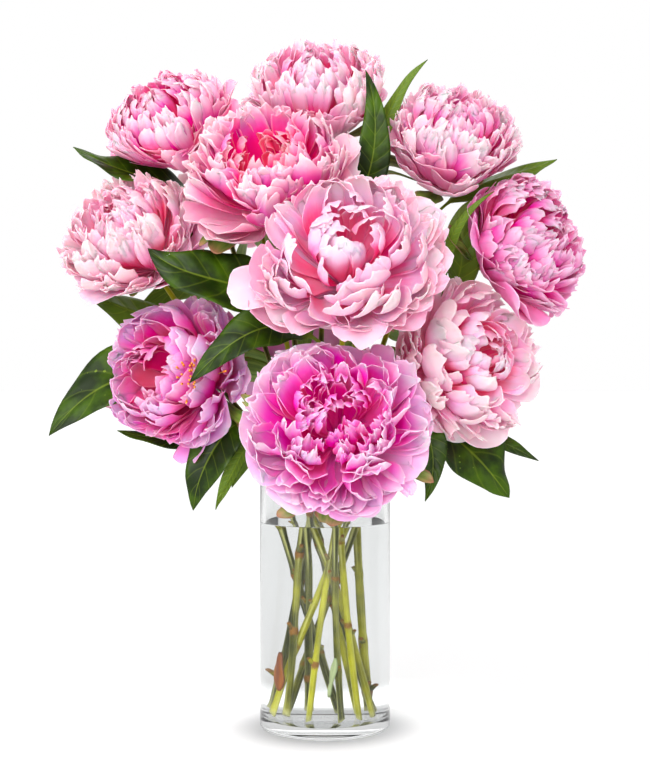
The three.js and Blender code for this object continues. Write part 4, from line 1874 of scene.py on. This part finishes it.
@dataclass
class Vase:
    """A plain glass cylinder with a thick floor, and the water in it.

    Attributes:
        wall: Thickness of the wall.
        floor: Thickness of the floor.
        foot: Radius of the rounded foot and of the inner corner.
        rim: Radius of the fire-polished rim.
        climb: How far the water climbs up the glass at its edge.
        climb_width: How far from the glass it starts to climb.
        film: Gap between the glass and the water.
        sides: Points round it.
    """

    wall: float = 4 * MM
    floor: float = 9 * MM
    foot: float = 3.5 * MM
    rim: float = 1.9 * MM
    climb: float = 0.7 * MM
    climb_width: float = 5 * MM
    film: float = 0.02 * MM
    sides: int = 192

    def body(
        self, name: str, node: str, profile: Profile, split: int,
        finishes: tuple[ClearFinish, ClearFinish],
    ) -> None:
        """A turned body with one finish up to a point of its profile and another after it.

        Args:
            name: The piece's name.
            node: The CAD node that it stands for.
            profile: Points of (radius, height).
            split: Number of the point at which the finish changes.
            finishes: The finish before that point and the one after it.
        """
        piece = turned(profile, self.sides).build(name)
        dress(piece, [finish.material() for finish in finishes], node)
        rows = np.repeat(np.arange(len(profile) - 1), self.sides)
        piece.data.polygons.foreach_set("material_index", (rows >= split).astype(np.int32))

    def build(self) -> None:
        """Makes the glass with a wet part inside, and the body of water that fills it."""
        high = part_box("vase")[1]
        outer, height = high[0], high[2]
        inner = outer - self.wall
        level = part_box("water")[1][2]
        wet = level + self.climb
        foot, rim, film = self.foot, self.rim, self.film
        corner = (inner - foot, self.floor + foot)
        underside = [(0.0, 1.2 * MM), (outer * 0.55, 1.0 * MM), (outer * 0.78, 0.35 * MM)]
        bottom = [(inner * 0.6, self.floor - 0.15 * MM), (0.0, self.floor - 0.3 * MM)]

        dry = underside + arc((outer - foot, foot), foot, -90, 0, 10)
        dry += arc((outer - rim, height - rim), rim, 0, 90, 8)
        dry += arc((inner + rim, height - rim), rim, 90, 180, 8)
        soaked = [(inner, wet), *arc(corner, foot, 0, -90, 10), *bottom]
        self.body("vase_glass", "vase", dry + soaked, len(dry), (
            ClearFinish("vase_clear_glass", "#eff0f0", 1.4),
            ClearFinish("vase_wet_glass", "#eff0f0", 1.053),
        ))

        edge = np.linspace(0, 1, 9)[1:]
        skin_radius = inner - film - self.climb_width * edge
        skin_height = level + self.climb * np.exp(-4.2 * edge) * (1 - edge)
        hidden = [(radius, low + film) for radius, low in reversed(bottom)]
        hidden += [*arc(corner, foot - film, -90, 0, 10), (inner - film, wet)]
        skin = [*zip(skin_radius, skin_height), (0.0, level)]
        self.body("vase_water", "water", hidden + skin, len(hidden) - 1, (
            ClearFinish("water_against_glass", "#ffffff", 1.0),
            ClearFinish("water_surface", "#f7f8f8", 1.02),
        ))


# Studio --------------------------------------------------------------------------------------


@dataclass
class Studio:
    """A pale floor, soft lights and a level camera in front of the bunch.

    Attributes:
        camera_distance: How far the camera stands in front of the vase's middle.
        camera_height: Its height above the table.
        lens: Its focal length in millimetres.
        room: Brightness of the room as the bunch sees it.
        aim: Height at which the lamps point.
        reach: How far the floor reaches from its middle.
    """

    camera_distance: float = 1.15
    camera_height: float = 0.272
    lens: float = 69.5
    room: float = 0.78
    aim: float = 0.28
    reach: float = 30.0

    def floor(self) -> None:
        """A pale floor, lit from below so that it is white far off.

        A grey ring at the vase's foot is a painted contact shadow: darker paint that glows less.
        Under the glass, and in a wider ring round that one, the floor glows with painted light,
        which stands in for light gathered by the water.
        """
        grid = np.linspace(-self.reach, self.reach, 3)
        points = np.array([(x, y, 0.0) for y in grid for x in grid])
        piece = Surface(points, grid_quads(3, 3)).build("studio_floor")
        material, nodes = new_material("studio_floor_paint")
        place = nodes.place()
        grain = nodes.noise(place, 400.0)
        away = nodes.add("VectorMath", {0: place}, operation="LENGTH").outputs["Value"]
        # painted contact shadow: within this ring round the vase's foot the floor glows less and is
        # painted darker
        past_painted_shadow = nodes.ramp(away, 0.042, 0.085)
        far_light = nodes.math("MULTIPLY", nodes.ramp(away, 0.6, 4.0), 0.32)
        lit = nodes.math("MULTIPLY_ADD", past_painted_shadow, 0.24, far_light)
        # painted light: the floor under the glass glows
        under = nodes.math("SUBTRACT", 1.0, nodes.ramp(away, 0.034, 0.05))
        lit = nodes.math("MULTIPLY_ADD", under, 0.4, lit)
        # painted light: a glowing ring round the painted shadow
        painted_glow_band = nodes.math("SUBTRACT", nodes.ramp(away, 0.08, 0.1), nodes.ramp(away, 0.13, 0.2))
        lit = nodes.math("MULTIPLY_ADD", painted_glow_band, 0.7, lit)
        paint = nodes.mix(grain, "#d6d6d6", "#d0d0d2", most=0.1)
        # painted contact shadow: a darker grey round the vase's foot
        paint = nodes.mix(past_painted_shadow, "#b4b4b6", paint)
        nodes.finish(nodes.skin(paint, 0.6, {
            "Specular IOR Level": 0.2, "Emission Color": "#ffffff", "Emission Strength": lit,
        }))
        piece.data.materials.append(material)

    def lamp(self, name: str, place: tuple[float, float, float], size: float, power: float) -> None:
        """A square soft lamp that points at the bunch.

        Args:
            name: Its name.
            place: Where it stands.
            size: Length of its side.
            power: Its power in watts.
        """
        light = bpy.data.lights.new(name, "AREA")
        light.shape = "SQUARE"
        light.size = size
        light.energy = power
        lamp = bpy.data.objects.new(name, light)
        lamp.visible_camera = False
        lamp.visible_transmission = False
        bpy.context.scene.collection.objects.link(lamp)
        way = unit(UP * self.aim - np.array(place))
        lamp.location = place
        lamp.rotation_euler = (math.acos(-way[2]), 0, math.atan2(-way[0], way[1]))

    def surroundings(self) -> None:
        """A white backdrop for the eye, which lights the bunch as a paler grey room does."""
        world = bpy.data.worlds.new("studio_white")
        bpy.context.scene.world = world
        world.use_nodes = True
        world.node_tree.nodes.clear()
        nodes = NodeTree(world.node_tree)
        seen = nodes.add("LightPath").outputs["Is Camera Ray"]
        strength = nodes.math("MULTIPLY_ADD", seen, 1.0 - self.room, self.room)
        background = nodes.add("Background", {"Color": "#ffffff", "Strength": strength})
        nodes.add("OutputWorld", {"Surface": background.outputs[0]})

    def camera(self) -> None:
        """A level camera in front of the bunch."""
        view = bpy.data.cameras.new("front")
        view.lens = self.lens
        view.sensor_width = 36.0
        camera = bpy.data.objects.new("front", view)
        bpy.context.scene.collection.objects.link(camera)
        camera.location = (0, -self.camera_distance, self.camera_height)
        camera.rotation_euler = (math.pi / 2, 0, 0)
        bpy.context.scene.camera = camera
        bpy.context.scene.view_settings.view_transform = "Standard"

    def build(self) -> None:
        """Sets up floor, light and camera."""
        self.floor()
        self.surroundings()
        self.lamp("front", (-0.3, -2.3, 0.8), 1.3, 52.0)
        self.lamp("key", (-1.1, -1.2, 1.7), 1.2, 20.0)
        self.lamp("back", (0.2, 1.3, 2.1), 1.6, 15.0)
        self.camera()


# The bunch -----------------------------------------------------------------------------------

BLUSH = PetalFinish("blush", "#dfbac1", "#ecbcdb", "#f65496", "#efb5c0", "#e9afc6")
SHELL = PetalFinish("shell", "#d5babc", "#eba6c4", "#f74c82", "#f0c1c9", "#e0b8d5")
PEACH = PetalFinish("peach", "#dec0c5", "#f7b5d7", "#f84e84", "#e1c7c9", "#f5c2d3")
ROSE = PetalFinish("rose", "#e9acc3", "#e6499b", "#ee1664", "#f4cecf", "#eb87ad")
CORAL = PetalFinish("coral", "#e1b6c6", "#df65a6", "#f02272", "#f2d5cd", "#e4a8bd")
CANDY = PetalFinish("candy", "#e6c0c5", "#e18cb2", "#ee3472", "#f6cad8", "#e2a2bb")
MAUVE = PetalFinish("mauve", "#d2b7c2", "#eb74b1", "#d82060", "#e8c4c6", "#dea1be")
ROSEBAY = PetalFinish("rosebay", "#cf7fa8", "#dd519c", "#e61a66", "#e3d1da", "#d673b1")
ORCHID = PetalFinish("orchid", "#cea0d5", "#e34ba6", "#cc1468", "#d3b6b2", "#cf8bc0")
MAGENTA = PetalFinish("magenta", "#cc9fc3", "#f257c4", "#ee1c9c", "#dbc5c8", "#dea3d0")
SEPAL_SKIN = SepalFinish("sepal_skin", "#4c6f20", "#7f9a3c", "#9a4a4c")
DRY_SHEATH = SepalFinish("dry_sheath_skin", "#6a2c06", "#b06a14", "#3f1604")
PALE_SHEATH = SepalFinish("pale_sheath_skin", "#7f9060", "#a9b585", "#6a7a48")

STEM_SEED, LEAF_SEED, CALYX_SEED, STAMEN_SEED = 100, 200, 300, 400
PLAIN_FULLNESS = 1.25
LEAF_FULLNESS = {
    "lower_right_broad": 2.0,
    "lower_left_broad": 1.5,
    "upper_left": 1.95,
    "mid_left": 1.75,
    "upright_thin": 1.55,
    "upper_right": 1.5,
    "gap_right_pale": 1.5,
    "hanging_left": 1.4,
}

# Each stray: spin, tip, reach, half width, incurve and curl.
STRAYS = {
    "centre": (
        Stray(192, 96, 1.28, 19, 0.2, -2),
        Stray(221, 100, 1.2, 17, 0.6, 8),
        Stray(236, 84, 1.05, 15, 0.3, 2),
        Stray(282, 82, 1.02, 22, 0.1, -6),
        Stray(4, 92, 1.12, 18, 0.4, 2),
        Stray(24, 96, 1.2, 18, 0.4, 2),
        Stray(40, 95, 1.18, 18, 0.4, 3),
        Stray(57, 93, 1.14, 17, 0.5, 3),
        Stray(340, 88, 1.1, 17, 0.3, 0),
    ),
    "bottom_centre": (
        Stray(318, 96, 1.14, 8, 0.1, -8),
        Stray(246, 100, 1.1, 24, 0.2, -8),
        Stray(285, 104, 1.12, 24, 0.2, -8),
        Stray(210, 100, 1.08, 22, 0.3, -4),
    ),
    "left": (
        Stray(10, 93, 1.18, 16, 0.3, 0),
        Stray(342, 94, 1.16, 17, 0.3, 0),
        Stray(36, 90, 1.12, 14, 0.4, 3),
        Stray(318, 96, 1.2, 17, 0.3, 0),
    ),
    "right": (
        Stray(234, 94, 1.12, 20, 0.3, -3),
        Stray(256, 92, 1.12, 20, 0.3, -3),
        Stray(206, 96, 1.1, 18, 0.3, 0),
    ),
    "upper_centre": (
        Stray(212, 98, 1.14, 19, 0.4, 3),
        Stray(232, 100, 1.16, 20, 0.4, 3),
        Stray(252, 98, 1.12, 19, 0.5, 3),
    ),
    "upper_left": (
        Stray(46, 84, 1.16, 15, 0.3, 0),
        Stray(20, 88, 1.14, 15, 0.4, 0),
        Stray(196, 90, 1.1, 15, 0.4, 0),
    ),
    "upper_right": (
        Stray(212, 95, 1.14, 19, 0.4, 3),
        Stray(236, 97, 1.22, 20, 0.4, 3),
        Stray(262, 97, 1.16, 19, 0.4, 2),
    ),
    "lower_left": (Stray(298, 98, 1.14, 20, 0.3, 0),),
}
LEAVES_BELOW = {"lower_left": (-18 * MM, 0, -50 * MM)}


def bunch() -> list[Bloom]:
    """The thirteen blooms with their looks, from the top of the bunch down.

    Returns:
        The blooms.
    """
    looks = (
        ("top", CANDY, Heart.RUFFLED, 11, "rose", 1.0),
        ("upper_left", ROSE, Heart.GLOBE, 12, "rose", 0.9),
        ("upper_centre", CORAL, Heart.CUP, 13, "rose", 1.05),
        ("left", SHELL, Heart.RUFFLED, 14, "pale", 0.9),
        ("centre", BLUSH, Heart.SHELLS, 35, "pale", 1.0),
        ("upper_right", MAUVE, Heart.RUFFLED, 16, "rose", 0.95),
        ("right", ROSEBAY, Heart.GLOBE, 17, "rose", 1.0),
        ("lower_right", PEACH, Heart.SHELLS, 18, "pale", 0.93),
        ("lower_left", ORCHID, Heart.SHELLS, 19, "hot", 1.0),
        ("bottom_centre", MAGENTA, Heart.ROSETTE, 40, "hot", 1.1),
        ("back_upper", CANDY, Heart.HIDDEN, 21, "rose", 1.0),
        ("back_centre", BLUSH, Heart.HIDDEN, 22, "pale", 1.0),
        ("back_lower", MAGENTA, Heart.HIDDEN, 23, "hot", 1.0),
    )
    return [Bloom(*look, STRAYS.get(look[0], ()), LEAVES_BELOW.get(look[0])) for look in looks]


def main() -> None:
    """Builds the studio, the vase, the stems, the leaves and the blooms in that order."""
    Studio().build()
    Vase().build()
    blooms = bunch()
    places = {bloom.name: BloomPlace.measured(bloom.name) for bloom in blooms}
    stem_skin = StemFinish().material()
    for index, place in enumerate(places.values()):
        Stem(place, STEM_SEED + index).build(stem_skin)
    dry = Sheath("dry_sheath", places["right"], 30 * MM, 30 * MM, 5.5 * MM, 8 * MM)
    pale = Sheath("pale_sheath", places["bottom_centre"], 60 * MM, -30 * MM, 4.5 * MM, 6 * MM)
    dry.build(DRY_SHEATH.material())
    pale.build(PALE_SHEATH.material())
    leaf_skin = LeafFinish().material()
    nodes = sorted(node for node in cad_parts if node.startswith("leaf_"))
    for index, name in enumerate(node.removeprefix("leaf_") for node in nodes):
        Leaf(name, LEAF_SEED + index, LEAF_FULLNESS.get(name, PLAIN_FULLNESS)).build(leaf_skin)
    sepal_skin = SEPAL_SKIN.material()
    for index, bloom in enumerate(blooms):
        planes = bloom.build(places)
        Calyx(places[bloom.name], CALYX_SEED + index).build(planes, sepal_skin)
    Stamens(places["lower_left"], spin=-4.0, tip=46.0, count=26, seed=STAMEN_SEED).build()


if __name__ == "__main__":
    main()
